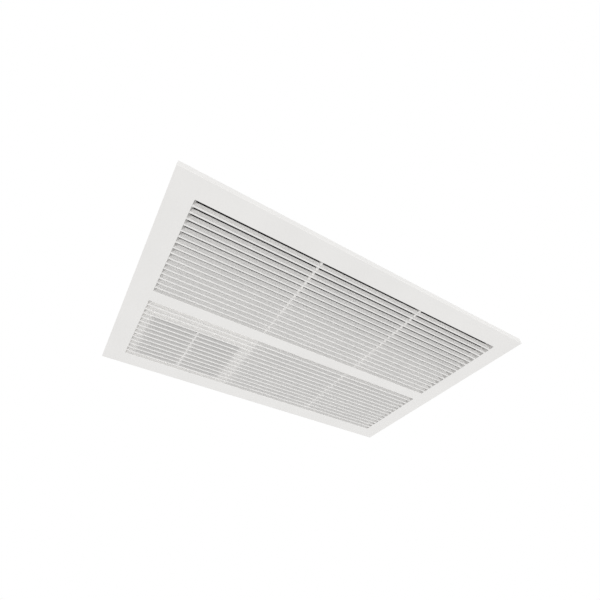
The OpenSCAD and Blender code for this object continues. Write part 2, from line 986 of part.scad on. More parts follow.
module acoustic_lining() {
    room = 3;
    color(black) {
        difference() {
            block([lining_x0, lining_y0, roof_z - lining_t], [lining_x1, lining_y1, roof_z]);
            for (x = [side_x0 - hanger_foot, side_x1])
                block([x - room, wheel_y - hanger_w / 2 - room, roof_z - lining_t - eps],
                    [x + hanger_foot + room, wheel_y + hanger_w / 2 + room, roof_z + eps]);
        }
        yz_plate(lining_x0, lining_x1 - lining_x0)
            polygon([for (p = [[sheet, lining_low_z], [sheet, lining_high_z],
                [sheet + lining_t, lining_high_z], [sheet + lining_t, lining_low_z]])
                    [slope_y(p[0], p[1]), p[1]]]);
    }
}

// ---------------------------------------------------------------- blower

module scroll_side_outline() {
    polygon(concat(
        [[hole_y0 - scroll_rim, duct_top_z]],
        [for (a = rim_angles) scroll_pt(a, scroll_rim)],
        [[hole_y1 + scroll_rim, duct_top_z]]));
}

// Spiral sheet between the side plates, with the outlet's flanges
module scroll_wrapper() {
    last = len(scroll_angles) - 1;
    color(zinc) {
        yz_plate(hole_x0, hole_len)
            polygon(concat(
                [[hole_y0, duct_top_z]],
                [for (a = scroll_angles) scroll_pt(a, 0)],
                [[hole_y1, duct_top_z], [hole_y1 + wrap_t, duct_top_z]],
                [for (i = [last:-1:0]) scroll_pt(scroll_angles[i], wrap_t)],
                [[hole_y0 - wrap_t, duct_top_z]]));
        for (y = [hole_y0 - scroll_flange, hole_y1 + wrap_t / 2])
            block([hole_x0, y, duct_top_z],
                [hole_x1, y + scroll_flange - wrap_t / 2, duct_top_z + sheet]);
    }
}

module scroll_side_left() {
    color(zinc)
        difference() {
            union() {
                yz_plate(side_x0, sheet)
                    difference() {
                        scroll_side_outline();
                        translate([wheel_y, wheel_z])
                            circle(r = inlet_hole_r);
                    }
                block([side_x0 - scroll_flange, hole_y0, duct_top_z],
                    [side_x0 + sheet / 2, hole_y1, duct_top_z + sheet]);
            }
            flange_screw_spots() screw_hole();
        }
}

module scroll_side_right() {
    color(zinc)
        translate([2 * wheel_x, 0, 0])
            mirror([1, 0, 0])
                scroll_side_left();
}

// Bellmouth: a flange on the side plate's outer face that rounds into the throat
module inlet_rings() {
    steps = 6;
    arc = [for (i = [0:steps]) 90 * i / steps];
    back_r = bell_r - sheet;
    rim_r = throat_r + bell_r;
    color(zinc)
        both_inlets()
            on_axis(side_x0 - sheet)
                rotate_extrude()
                    polygon(concat(
                        [[inlet_flange_r, 0]],
                        [for (a = arc) [rim_r - bell_r * sin(a), bell_r - bell_r * cos(a)]],
                        [[throat_r, bell_r + inlet_lip], [throat_r + sheet, bell_r + inlet_lip]],
                        [for (i = [steps:-1:0])
                            [rim_r - back_r * sin(arc[i]), bell_r - back_r * cos(arc[i])]],
                        [[inlet_flange_r, sheet]]));
}

module blower_hangers() {
    color(zinc)
        difference() {
            both_inlets() {
                block([side_x0 - hanger_t, wheel_y - hanger_w / 2, hanger_z0],
                    [side_x0, wheel_y + hanger_w / 2, roof_z]);
                block([side_x0 - hanger_foot, wheel_y - hanger_w / 2, roof_z - hanger_t],
                    [side_x0, wheel_y + hanger_w / 2, roof_z]);
            }
            hanger_screw_spots() screw_hole();
        }
}

// Blade section from the inner to the outer radius, curled forward
module blade_outline() {
    half = blade_t / 2 / wheel_r * 180 / PI;
    t = [for (i = [0:blade_steps]) i / blade_steps];
    function at(s, side) =
        let (r = blade_in_r + blade_depth * s, a = blade_curl * (s + s * s) + side * half)
        [r * cos(a), r * sin(a)];
    polygon(concat(
        [for (s = t) at(s, -1)],
        [for (i = [blade_steps:-1:0]) at(t[i], 1)]));
}

module blower_wheel() {
    wheel_len = wheel_x1 - wheel_x0;
    color(zinc) {
        on_axis(wheel_x0) {
            linear_extrude(wheel_len)
                for (i = [0:blades - 1])
                    rotate(i * 360 / blades)
                        blade_outline();
            for (z = [0, wheel_len - ring_t])
                translate([0, 0, z])
                    tube(wheel_r + ring_over, blade_in_r - ring_over, ring_t);
        }
        on_axis(wheel_x - ring_t / 2)
            tube(wheel_r + ring_over, hub_r + running, ring_t);
    }
}

module wheel_hub() {
    color(steel)
        difference() {
            union() {
                on_axis(hub_x0)
                    cylinder(r = hub_r, h = hub_x1 - hub_x0);
                on_axis(wheel_x + ring_t / 2)
                    cylinder(r = hub_flange_r, h = hub_flange_t);
            }
            on_axis(hub_x0 - eps)
                cylinder(r = shaft_r + running, h = hub_x1 - hub_x0 + 2 * eps);
        }
}

module motor_shaft() {
    color(steel)
        on_axis(hub_x0 - 10)
            cylinder(r = shaft_r, h = motor_x1 - cap_t - hub_x0 + 10);
}

module rotor_core() {
    color(steel)
        on_axis(motor_x - core_len / 2)
            tube(core_r, shaft_r + running, core_len);
}

module motor_shell() {
    boss = cap_t + boss_len;
    shaft_hole = shaft_r + 0.65;
    seat = bearing_r + running;
    inside = motor_r - motor_wall;
    n = motor_len;
    color(steel)
        on_axis(motor_x0)
            rotate_extrude()
                polygon([[shaft_hole, 0], [motor_r, 0], [motor_r, n], [shaft_hole, n],
                    [shaft_hole, n - cap_t], [seat, n - cap_t], [seat, n - boss],
                    [boss_r, n - boss], [boss_r, n - cap_t], [inside, n - cap_t],
                    [inside, cap_t], [boss_r, cap_t], [boss_r, boss], [seat, boss],
                    [seat, cap_t], [shaft_hole, cap_t]]);
}

module stator_core() {
    color("chocolate") {
        on_axis(motor_x - stator_len / 2)
            tube(motor_r - motor_wall - gap, core_r + air_gap, stator_len);
        for (x = [motor_x - stator_len / 2 - winding_len, motor_x + stator_len / 2])
            on_axis(x)
                tube(motor_r - motor_wall - 4, core_r + 4, winding_len);
    }
}

module motor_bearings() {
    color(steel)
        for (x = [motor_x0 + cap_t, motor_x1 - cap_t - bearing_w])
            on_axis(x)
                tube(bearing_r, shaft_r + running, bearing_w);
}

// Belly band round the motor with three arms, standing on rubber grommets
module motor_arms() {
    inner = motor_r + gap;
    color(zinc) {
        on_axis(arm_x)
            tube(inner + arm_t, inner, arm_band_w);
        for (a = arm_angles)
            yz_plate(arm_x, arm_t)
                translate([wheel_y, wheel_z])
                    rotate(-a)
                        translate([-arm_w / 2, -grommet_dist - grommet_r])
                            square([arm_w, grommet_dist + grommet_r - inner - arm_t / 2]);
    }
}

module motor_grommets() {
    color(black)
        for (a = arm_angles)
            translate([side_x1, wheel_y - grommet_dist * sin(a), wheel_z - grommet_dist * cos(a)])
                rotate([0, 90, 0])
                    cylinder(r = grommet_r, h = grommet_h);
}

// ---------------------------------------------------------------- heater

leg_rows = [-2.5, -1.5, -0.5, 0.5, 1.5, 2.5];

module leg_holes(x) {
    for (row = leg_rows)
        translate([x - 2 * sheet, element_y + row * leg_pitch, element_z])
            rotate([0, 90, 0])
                cylinder(r = leg_hole_r, h = 4 * sheet);
}

// Ring of sheet round the duct at height z, reaching out by w
module duct_flange(z, w) {
    difference() {
        block([duct_x0 - sheet - w, duct_y0 - sheet - w, z],
            [duct_x1 + sheet + w, duct_y1 + sheet + w, z + sheet]);
        block([duct_x0, duct_y0, z - eps], [duct_x1, duct_y1, z + sheet + eps]);
    }
}

module heater_duct() {
    color(zinc)
        difference() {
            union() {
                difference() {
                    block([duct_x0 - sheet, duct_y0 - sheet, duct_z0],
                        [duct_x1 + sheet, duct_y1 + sheet, duct_top_z]);
                    block([duct_x0, duct_y0, duct_z0 - eps], [duct_x1, duct_y1, duct_top_z + eps]);
                }
                duct_flange(duct_z0, duct_foot);
                duct_flange(duct_top_z - sheet, scroll_flange);
                block([comb_x, duct_y0 - sheet / 2, element_z - comb_h / 2],
                    [comb_x + sheet, duct_y1 + sheet / 2, element_z + comb_h / 2]);
            }
            leg_holes(comb_x);
            leg_holes(duct_x1);
            flange_screw_spots() screw_hole();
        }
}

module duct_gasket() {
    color(black)
        difference() {
            block([duct_x0 - sheet - duct_foot, duct_y0 - sheet - duct_foot, plate_top + gap],
                [duct_x1 + sheet + duct_foot, duct_y1 + sheet + duct_foot, duct_z0]);
            block([duct_x0, duct_y0, plate_top], [duct_x1, duct_y1, duct_z0 + eps]);
        }
}

// Finned straight leg of a heating element, from its bend to its terminal end
module element_leg() {
    leg_len = leg_end - bend_x;
    fins = floor((leg_len - fin_from - fin_to) / fin_pitch);
    rotate([0, 90, 0])
        rotate_extrude()
            polygon(concat(
                [[0, 0], [element_r, 0]],
                [for (i = [0:fins - 1], p = [[element_r, 0], [fin_r, 0], [fin_r, fin_t], [element_r, fin_t]])
                    [p[0], fin_from + i * fin_pitch + p[1]]],
                [[element_r, leg_len], [stud_r, leg_len], [stud_r, leg_len + stud_len],
                    [0, leg_len + stud_len]]));
    translate([duct_x1 + sheet - bend_x, 0, 0])
        rotate([0, 90, 0])
            cylinder(r = bush_r, h = bush_t);
}

module heating_elements() {
    color(steel)
        for (row = [-2, 0, 2])
            translate([bend_x, element_y + row * leg_pitch, element_z]) {
                for (side = [-1, 1])
                    translate([0, side * leg_mid, 0])
                        element_leg();
                rotate([0, 0, 90])
                    rotate_extrude(angle = 180)
                        translate([leg_mid, 0])
                            circle(r = element_r);
            }
}

module terminal_cover() {
    x0 = duct_x1 + sheet;
    color(white)
        difference() {
            block([x0, cover_y0, cover_z0], [x0 + cover_d, cover_y1, cover_z0 + cover_h]);
            block([x0 - eps, cover_y0 + sheet, cover_z0 + sheet],
                [x0 + cover_d - sheet, cover_y1 - sheet, cover_z0 + cover_h - sheet]);
        }
}

// Disc thermostat on the duct's near wall, with a mounting strap and two blades
module limit_thermostat() {
    y1 = duct_y0 - sheet;
    x = duct_x0 + 80;
    color(black) {
        translate([x, y1, element_z])
            rotate([90, 0, 0])
                cylinder(r = 9, h = 7);
        block([x - 16, y1 - sheet, element_z - 5], [x + 16, y1, element_z + 5]);
        for (side = [-1, 1])
            block([x + side * 4 - 2.5, y1 - 14, element_z - 0.4],
                [x + side * 4 + 2.5, y1 - 6, element_z + 0.4]);
    }
}

// ---------------------------------------------------------------- electrical

module gland_hole() {
    translate([inner_x - 2 * sheet, gland_y, gland_z])
        rotate([0, 90, 0])
            cylinder(r = gland_hole_r, h = 4 * sheet);
}

// Roof and two long walls folded from one sheet, with lips that take the lid's screws
module electrical_box() {
    color(zinc)
        difference() {
            union() {
                block([elbox_x0, -elbox_y, elbox_top - sheet], [inner_x, elbox_y, elbox_top]);
                for (side = [-1, 1]) {
                    wall = side * elbox_y;
                    lip = side * (elbox_y - sheet - elbox_lip);
                    block([elbox_x0, min(wall, wall - side * sheet), elbox_z0],
                        [inner_x, max(wall, wall - side * sheet), elbox_top]);
                    block([elbox_x0 + sheet, min(wall, lip), elbox_z0],
                        [inner_x - sheet, max(wall, lip), elbox_z0 + sheet]);
                }
            }
            lid_screw_spots() screw_hole();
        }
}

// Flat plates that close the box towards the blower and towards the casing's end
module electrical_box_ends() {
    color(zinc)
        difference() {
            for (x = [elbox_x0, inner_x - sheet])
                block([x, -elbox_y + sheet, elbox_z0], [x + sheet, elbox_y - sheet, elbox_top - sheet]);
            gland_hole();
        }
}

module electrical_lid() {
    color(zinc)
        difference() {
            block([elbox_x0, -elbox_y, elbox_z0 - sheet], [inner_x, elbox_y, elbox_z0]);
            lid_screw_spots() screw_hole();
            translate([reset_x, reset_y, elbox_z0 - 2 * sheet])
                cylinder(r = neck_r + snug, h = 3 * sheet);
        }
}

// Strip of terminals under the box's roof: open wire entries between raised walls
module terminal_block() {
    x0 = elbox_x0 + block_inset;
    y0 = gland_y - block_ways * block_way / 2;
    top = elbox_top - sheet;
    low = top - block_size[1];
    color(nylon)
        difference() {
            block([x0, y0, low], [x0 + block_size[0], y0 + block_ways * block_way + block_rib, top]);
            for (i = [0:block_ways - 1])
                for (x = [x0 - eps, x0 + block_size[0] - block_entry])
                    block([x, y0 + i * block_way + block_rib, low - eps],
                        [x + block_entry + eps, y0 + (i + 1) * block_way, low + block_entry_h]);
        }
}

// Contactor under the box's roof: a body with a stepped terminal deck and its armature
module contactor() {
    x0 = elbox_x0 + contactor_inset;
    y0 = contactor_y;
    top = elbox_top - sheet;
    low = top - contactor_size[2];
    mid = [x0 + contactor_size[0] / 2, y0 + contactor_size[1] / 2];
    half = [armature_size[0] / 2, armature_size[1] / 2];
    pad = contactor_pad;
    pad_y = (contactor_size[1] - contactor_poles * pad[1]) / (contactor_poles + 1);
    color([0.2, 0.21, 0.23]) {
        block([x0, y0, low], [x0 + contactor_size[0], y0 + contactor_size[1], top]);
        block([mid[0] - half[0], mid[1] - half[1], low - armature_size[2]],
            [mid[0] + half[0], mid[1] + half[1], low]);
        for (i = [0:contactor_poles - 1], x = [x0 + 1, x0 + contactor_size[0] - 1 - pad[0]])
            block([x, y0 + pad_y + i * (pad[1] + pad_y), low - pad[2]],
                [x + pad[0], y0 + pad_y + i * (pad[1] + pad_y) + pad[1], low]);
    }
}

module run_capacitor() {
    r = capacitor_r;
    color(nylon) {
        translate([inner_x - sheet - gap - r, capacitor_y, elbox_top - sheet - gap - r])
            rotate([-90, 0, 0]) {
                cylinder(r = r, h = capacitor_len);
                translate([0, 0, -capacitor_stud_len])
                    cylinder(r = capacitor_stud_r, h = capacitor_stud_len);
            }
    }
}

// Thermal cut-out standing on the lid, its threaded neck through it
module cutout_body() {
    half = [12, 10];
    color(black)
        translate([reset_x, reset_y, 0])
            difference() {
                union() {
                    block([-half[0], -half[1], elbox_z0], [half[0], half[1], elbox_z0 + cutout_h]);
                    translate([0, 0, elbox_z0 - neck_len])
                        cylinder(r = neck_r, h = neck_len + eps);
                }
                translate([0, 0, elbox_z0 - neck_len - eps])
                    cylinder(r = reset_r + running, h = neck_len + cutout_h / 2 + eps);
            }
}

module reset_button() {
    cap_h = 3;
    neck_end = elbox_z0 - neck_len;
    color("red")
        translate([reset_x, reset_y, neck_end - cap_h - reset_travel - gap]) {
            cylinder(r = neck_r, h = cap_h);
            cylinder(r = reset_r, h = cap_h + neck_len + cutout_h / 2 - eps);
        }
}

module cable_gland() {
    hex_t = 6;
    nut_t = 5;
    inside = 12;
    color(black)
        translate([casing_x, gland_y, gland_z])
            rotate([0, 90, 0]) {
                difference() {
                    union() {
                        translate([0, 0, -inside])
                            cylinder(r = gland_r, h = inside + eps);
                        cylinder(r = gland_hex_r, h = hex_t, $fn = 6);
                        cylinder(r = gland_r + 2, h = gland_out);
                    }
                    translate([0, 0, -inside - eps])
                        cylinder(r = gland_bore_r, h = inside + gland_out + 2 * eps);
                }
                translate([0, 0, -2 * sheet - nut_t])
                    difference() {
                        cylinder(r = gland_hex_r, h = nut_t, $fn = 6);
                        translate([0, 0, -eps])
                            cylinder(r = gland_r + running, h = nut_t + 2 * eps);
                    }
            }
}

// Sleeved lead: along -X at height z_a, down at x_bend, and on along -X at height z_b
module bent_lead(r, bend, y, x_a, x_bend, x_b, z_a, z_b) {
    translate([0, y, 0]) {
        translate([x_bend + bend, 0, z_a])
            rotate([0, 90, 0])
                cylinder(r = r, h = x_a - x_bend - bend);
        translate([x_bend + bend, 0, z_a - bend])
            rotate([90, 0, 0])
                rotate([0, 0, 90])
                    rotate_extrude(angle = 90)
                        translate([bend, 0])
                            circle(r = r);
        translate([x_bend, 0, z_b + bend])
            cylinder(r = r, h = z_a - z_b - 2 * bend);
        translate([x_bend - bend, 0, z_b + bend])
            rotate([90, 0, 0])
                rotate([0, 0, 270])
                    rotate_extrude(angle = 90)
                        translate([bend, 0])
                            circle(r = r);
        translate([x_b, 0, z_b])
            rotate([0, 90, 0])
                cylinder(r = r, h = x_bend - bend - x_b);
    }
}

module internal_leads() {
    cover_x = duct_x1 + sheet + cover_d;
    color([0.15, 0.15, 0.16]) {
        bent_lead(heater_lead_r, heater_lead_bend, heater_lead_y, elbox_x0,
            cover_x + heater_lead_drop, cover_x, heater_lead_z, element_z);
        bent_lead(motor_lead_r, motor_lead_bend, wheel_y, elbox_x0,
            motor_x1 + motor_lead_drop, motor_x1, motor_lead_z, motor_entry_z);
    }
}

panel_frame();
return_grille_bars();
outlet_grille_bars();
grille_ribs();
outlet_plate();
outlet_divider();
return_filter_frame();
return_filter_media();
side_filter_frame();
side_filter_media();
filter_hooks();
filter_clip_posts();
filter_clip_left();
filter_clip_middle();
filter_clip_right();
hinge_ears();
catch_strikes();
ceiling_seal();
drop_links();
hinge_rod();
hinge_rod_clips();
casing_top();
casing_side_near();
casing_side_far();
casing_end_left();
casing_end_right();
sheet_metal_screws();
hanger_lugs();
acoustic_lining();
link_guides();
magnetic_catches();
scroll_wrapper();
scroll_side_left();
scroll_side_right();
inlet_rings();
blower_hangers();
motor_shell();
stator_core();
motor_bearings();
motor_arms();
motor_grommets();
blower_wheel();
wheel_hub();
motor_shaft();
rotor_core();
heater_duct();
duct_gasket();
heating_elements();
terminal_cover();
limit_thermostat();
electrical_box();
electrical_box_ends();
electrical_lid();
terminal_block();
contactor();
run_capacitor();
cutout_body();
reset_button();
cable_gland();
internal_leads();
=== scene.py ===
import json
import math

import bmesh
import bpy
from mathutils import Matrix, Vector, noise


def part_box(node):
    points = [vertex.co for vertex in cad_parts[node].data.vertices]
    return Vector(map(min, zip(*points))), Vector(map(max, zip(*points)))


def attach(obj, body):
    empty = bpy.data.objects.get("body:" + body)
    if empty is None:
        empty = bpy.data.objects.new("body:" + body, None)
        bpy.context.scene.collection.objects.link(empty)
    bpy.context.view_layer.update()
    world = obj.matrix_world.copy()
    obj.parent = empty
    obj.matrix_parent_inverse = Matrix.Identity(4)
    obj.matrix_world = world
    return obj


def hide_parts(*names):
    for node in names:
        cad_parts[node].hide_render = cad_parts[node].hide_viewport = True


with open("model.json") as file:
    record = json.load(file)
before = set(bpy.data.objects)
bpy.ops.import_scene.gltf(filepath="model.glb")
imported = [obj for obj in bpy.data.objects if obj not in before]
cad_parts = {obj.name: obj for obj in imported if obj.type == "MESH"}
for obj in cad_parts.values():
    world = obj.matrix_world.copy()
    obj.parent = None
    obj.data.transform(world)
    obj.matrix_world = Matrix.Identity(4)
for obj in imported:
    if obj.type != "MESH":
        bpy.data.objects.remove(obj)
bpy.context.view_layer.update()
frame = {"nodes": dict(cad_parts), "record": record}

NODES = frame["nodes"]
MM = 0.001
# The bars' faces and backs, and the hole in the outlet plate
FACE_Z = -15 * MM
BAR_TOP = -1.5 * MM
HOLE_X = (-380 * MM, -150 * MM)
HOLE_Y = (82.2 * MM, 244.2 * MM)


# ---------------------------------------------------------------- materials

class Shader:
    """A Principled material whose nodes are added one call at a time. Texture scales are in features
    per metre."""

    def __init__(self, name, color, roughness=0.5, metallic=0.0, **constants):
        self.material = bpy.data.materials.new(name)
        self.material.use_nodes = True
        self.tree = self.material.node_tree
        self.bsdf = self.tree.nodes["Principled BSDF"]
        self.bsdf.inputs["Base Color"].default_value = (*color, 1)
        self.bsdf.inputs["Roughness"].default_value = roughness
        self.bsdf.inputs["Metallic"].default_value = metallic
        for key, value in constants.items():
            self.bsdf.inputs[key.replace("_", " ")].default_value = value
        self.coords = self.node("ShaderNodeTexCoord").outputs["Object"]

    def node(self, kind, **settings):
        made = self.tree.nodes.new(kind)
        for key, value in settings.items():
            setattr(made, key, value)
        return made

    def link(self, a, b):
        self.tree.links.new(a, b)

    def stretched(self, scale):
        mapping = self.node("ShaderNodeMapping")
        mapping.inputs["Scale"].default_value = scale
        self.link(self.coords, mapping.inputs["Vector"])
        return mapping.outputs["Vector"]

    def noise(self, scale, detail, vector=None, distortion=0.0):
        made = self.node("ShaderNodeTexNoise")
        made.inputs["Scale"].default_value = scale
        made.inputs["Detail"].default_value = detail
        made.inputs["Distortion"].default_value = distortion
        self.link(vector or self.coords, made.inputs["Vector"])
        return made.outputs["Fac"]

    def cells(self, scale, feature="F1", vector=None):
        made = self.node("ShaderNodeTexVoronoi", feature=feature)
        made.inputs["Scale"].default_value = scale
        self.link(vector or self.coords, made.inputs["Vector"])
        return made

    def ramp(self, value, *stops):
        made = self.node("ShaderNodeValToRGB")
        band = made.color_ramp
        while len(band.elements) < len(stops):
            band.elements.new(0.5)
        for element, (at, color) in zip(band.elements, stops):
            element.position = at
            element.color = (*color, 1)
        self.link(value, made.inputs["Fac"])
        return made.outputs["Color"]

    def spread(self, value, low, high, from_low=0.3, from_high=0.7):
        made = self.node("ShaderNodeMapRange")
        made.inputs["From Min"].default_value = from_low
        made.inputs["From Max"].default_value = from_high
        made.inputs["To Min"].default_value = low
        made.inputs["To Max"].default_value = high
        self.link(value, made.inputs["Value"])
        return made.outputs["Result"]

    def math(self, operation, a, b):
        made = self.node("ShaderNodeMath", operation=operation)
        for value, socket in ((a, made.inputs[0]), (b, made.inputs[1])):
            if isinstance(value, (int, float)):
                socket.default_value = value
            else:
                self.link(value, socket)
        return made.outputs["Value"]

    def scaled(self, color, factor):
        made = self.node("ShaderNodeVectorMath", operation="SCALE")
        made.inputs[0].default_value = color
        self.link(factor, made.inputs["Scale"])
        return made.outputs["Vector"]

    def color(self, output):
        self.link(output, self.bsdf.inputs["Base Color"])

    def rough(self, output):
        self.link(output, self.bsdf.inputs["Roughness"])

    def bump(self, *layers):
        """Layers are (height, strength, distance in metres)."""
        normal = None
        for height, strength, distance in layers:
            made = self.node("ShaderNodeBump")
            made.inputs["Strength"].default_value = strength
            made.inputs["Distance"].default_value = distance
            self.link(height, made.inputs["Height"])
            if normal:
                self.link(normal, made.inputs["Normal"])
            normal = made.outputs["Normal"]
        self.link(normal, self.bsdf.inputs["Normal"])


def shade(color, factor):
    return tuple(c * factor for c in color)


# Tone of a powder coat where it is darkest and lightest
DRIFT_LOW, DRIFT_HIGH = 0.985, 1.01


def orange_peel(s, roughness):
    """Gloss and fine waves of a sprayed coat."""
    s.rough(s.spread(s.noise(160, 3), roughness - 0.05, roughness + 0.06))
    s.bump((s.noise(950, 2), 0.12, 0.00012), (s.noise(60, 2), 0.05, 0.0004))


def powder_coat(name, color, roughness=0.42):
    """Satin powder coat: a fine orange peel, and a tone that drifts a little over the sheet."""
    s = Shader(name, color, roughness)
    s.color(s.ramp(s.noise(9, 2), (0.3, shade(color, DRIFT_LOW)), (0.7, shade(color, DRIFT_HIGH))))
    orange_peel(s, roughness)
    return s.material


def bar_coat(name, color, roughness, painted_back_shade, painted_hole_shade):
    """Powder coat with painted shade and light, its tone fitted to the photograph. Its first share is
    painted shade taken off from the bars' faces to their backs (painted light, added, where negative),
    its second the painted shade taken off as well over the hole."""
    s = Shader(name, color, roughness)
    place = s.node("ShaderNodeSeparateXYZ")
    s.link(s.coords, place.inputs["Vector"])
    depth = s.spread(place.outputs["Z"], 0, 1, FACE_Z, BAR_TOP)
    hole_shade_mask = depth
    fade = 0.6 * MM
    for axis, (low, high) in (("X", HOLE_X), ("Y", HOLE_Y)):
        for start, end in ((low, low + fade), (high, high - fade)):
            step = s.spread(place.outputs[axis], 0, 1, start, end)
            hole_shade_mask = s.math("MULTIPLY", hole_shade_mask, step)
    # Painted shade: darker towards the bars' backs and over the hole, and painted light where the share
    # is negative
    painted_light_and_shade = s.math("ADD", s.math("MULTIPLY", depth, painted_back_shade), s.math("MULTIPLY", hole_shade_mask, painted_hole_shade))
    drift = s.spread(s.noise(9, 2), DRIFT_LOW, DRIFT_HIGH)
    s.color(s.scaled(color, s.math("MULTIPLY", drift, s.math("SUBTRACT", 1.0, painted_light_and_shade))))
    orange_peel(s, roughness)
    return s.material


def galvanised(name, color):
    """Hot-dipped sheet: spangle crystals that differ in tone and gloss."""
    s = Shader(name, color, 0.4, 0.85)
    warp = s.node("ShaderNodeVectorMath", operation="SCALE")
    s.link(s.noise(35, 2), warp.inputs[0])
    warp.inputs["Scale"].default_value = 0.01
    bent = s.node("ShaderNodeVectorMath", operation="ADD")
    s.link(s.coords, bent.inputs[0])
    s.link(warp.outputs["Vector"], bent.inputs[1])
    crystal = s.node("ShaderNodeSeparateColor")
    s.link(s.cells(95, vector=bent.outputs["Vector"]).outputs["Color"], crystal.inputs["Color"])
    tone, gloss = crystal.outputs["Red"], crystal.outputs["Green"]
    dull, plain, bright = (shade(color, factor) for factor in (0.80, 0.93, 1.08))
    s.color(s.ramp(tone, (0.0, dull), (0.5, plain), (1.0, bright)))
    s.rough(s.spread(gloss, 0.3, 0.48, 0, 1))
    s.bump((s.noise(700, 3), 0.05, 0.0001), (tone, 0.04, 0.00005))
    return s.material


def plated(name, color, roughness):
    """Bright zinc plate: faint cloudy tint and a fine grain."""
    s = Shader(name, color, roughness, 1.0)
    red, green, blue = color
    cool, warm = (red * 0.93, green * 0.95, blue), (red * 1.06, green * 1.04, blue * 0.97)
    s.color(s.ramp(s.noise(28, 3), (0.3, cool), (0.7, warm)))
    s.rough(s.spread(s.noise(320, 3), roughness - 0.07, roughness + 0.1))
    s.bump((s.noise(600, 2), 0.03, 0.00005))
    return s.material


def turned(name, color, grain):
    """Turned or drawn steel: fine lines one way."""
    s = Shader(name, color, 0.28, 1.0)
    lines = s.noise(1, 4, vector=s.stretched(grain))
    s.color(s.ramp(lines, (0.3, shade(color, 0.86)), (0.7, shade(color, 1.1))))
    s.rough(s.spread(lines, 0.2, 0.38))
    s.bump((lines, 0.1, 0.00005))
    return s.material


def open_foam(name, color):
    """Reticulated filter foam: strands round small open pores."""
    s = Shader(name, color, 0.85, 0.0, Specular_IOR_Level=0.2)
    pores = s.cells(420, "DISTANCE_TO_EDGE").outputs["Distance"]
    strand_to_pore = ((0.0, 3.2), (0.07, 1.8), (0.16, 0.35), (0.5, 0.1))
    s.color(s.ramp(pores, *((at, shade(color, factor)) for at, factor in strand_to_pore)))
    s.rough(s.spread(s.noise(200, 2), 0.75, 0.95))
    s.bump((s.spread(pores, 1, 0, 0, 0.4), 0.9, 0.0012), (s.noise(90, 3), 0.3, 0.001))
    return s.material


def skinned_foam(name, color, grain=1100, roughness=0.8):
    """Closed-cell foam with a pitted skin."""
    s = Shader(name, color, roughness, 0.0, Specular_IOR_Level=0.3)
    pits = s.cells(grain).outputs["Distance"]
    s.color(s.ramp(s.noise(60, 4), (0.3, shade(color, 0.75)), (0.7, shade(color, 1.3))))
    s.rough(s.spread(s.noise(240, 2), roughness - 0.08, roughness + 0.12))
    s.bump((pits, 0.5, 0.0004), (s.noise(140, 3), 0.3, 0.0008))
    return s.material


def moulded(name, color, roughness, grain=1300, depth=0.00008, **constants):
    """Moulded plastic or rubber with a fine spark-eroded grain."""
    s = Shader(name, color, roughness, 0.0, **constants)
    s.color(s.ramp(s.noise(45, 3), (0.3, shade(color, 0.92)), (0.7, shade(color, 1.08))))
    s.rough(s.spread(s.noise(300, 2), roughness - 0.06, roughness + 0.08))
    s.bump((s.noise(grain, 3), 0.25, depth))
    return s.material


def heated_steel(name, color):
    """Stainless steel tinted blue, brown and straw by heat."""
    s = Shader(name, color, 0.38, 0.9)
    blue, brown, straw = (0.20, 0.21, 0.27), (0.30, 0.24, 0.19), (0.46, 0.40, 0.30)
    heat = s.noise(40, 4, distortion=0.6)
    s.color(s.ramp(heat, (0.25, blue), (0.45, brown), (0.6, color), (0.8, straw)))
    s.rough(s.spread(s.noise(350, 3), 0.3, 0.5))
    s.bump((s.noise(1500, 2), 0.1, 0.00006))
    return s.material


def windings(name, color):
    """Varnished copper wire, with the turns as fine ridges across the axis."""
    s = Shader(name, color, 0.35, 0.6)
    lines = s.noise(1, 3, vector=s.stretched((40, 900, 900)))
    s.color(s.ramp(lines, (0.3, shade(color, 0.45)), (0.65, shade(color, 1.4))))
    s.rough(s.spread(lines, 0.25, 0.5))
    s.bump((lines, 0.5, 0.0004))
    return s.material


# The record's slots, with two more paints for pieces that differ from the rest of their slot: one with
# painted light, one with painted shade
WHITE = (0.787, 0.778, 0.765)
MATERIALS = {
    "panel_paint": powder_coat("panel_paint", WHITE),
    # Outlet bars: 18 percent painted shade at their backs over the hole, and 1 percent painted light at
    # their backs elsewhere
    "bar_paint": bar_coat("bar_paint", WHITE, 0.40, -0.01, 0.18),
    # Return bars: painted light, 16 percent lighter towards their backs
    "return_bar_painted_light": bar_coat("return_bar_painted_light", shade(WHITE, 0.985), 0.40, -0.16, 0),
    # Ribs and divider: painted shade, 18 percent darker than the frame
    "rib_painted_shade": powder_coat("rib_painted_shade", shade(WHITE, 0.82), 0.46),
    "plate_paint": powder_coat("plate_paint", shade(WHITE, 0.99), 0.46),
    "galvanised": galvanised("galvanised", (0.66, 0.68, 0.70)),
    "zinc_plate": plated("zinc_plate", (0.62, 0.63, 0.65), 0.3),
    "bare_steel": turned("bare_steel", (0.52, 0.52, 0.54), (900, 30, 30)),
    "filter_foam": open_foam("filter_foam", (0.011, 0.011, 0.012)),
    "foam_black": skinned_foam("foam_black", (0.03, 0.03, 0.033)),
    "lining_foam": skinned_foam("lining_foam", (0.045, 0.045, 0.05), 700, 0.7),
    "rubber_black": moulded("rubber_black", (0.022, 0.022, 0.022), 0.62),
    "nylon_natural": moulded("nylon_natural", (0.70, 0.67, 0.58), 0.45, 900,
                             Subsurface_Weight=0.15, Subsurface_Scale=0.003),
    "plastic_black": moulded("plastic_black", (0.024, 0.024, 0.027), 0.42),
    "plastic_red": moulded("plastic_red", (0.5, 0.02, 0.015), 0.22, 600, 0.00003, Coat_Weight=0.4),
    "copper_winding": windings("copper_winding", (0.40, 0.14, 0.05)),
    "element_steel": heated_steel("element_steel", (0.42, 0.39, 0.36)),
}


def paint(obj, slot):
    obj.data.materials.clear()
    obj.data.materials.append(MATERIALS[slot])


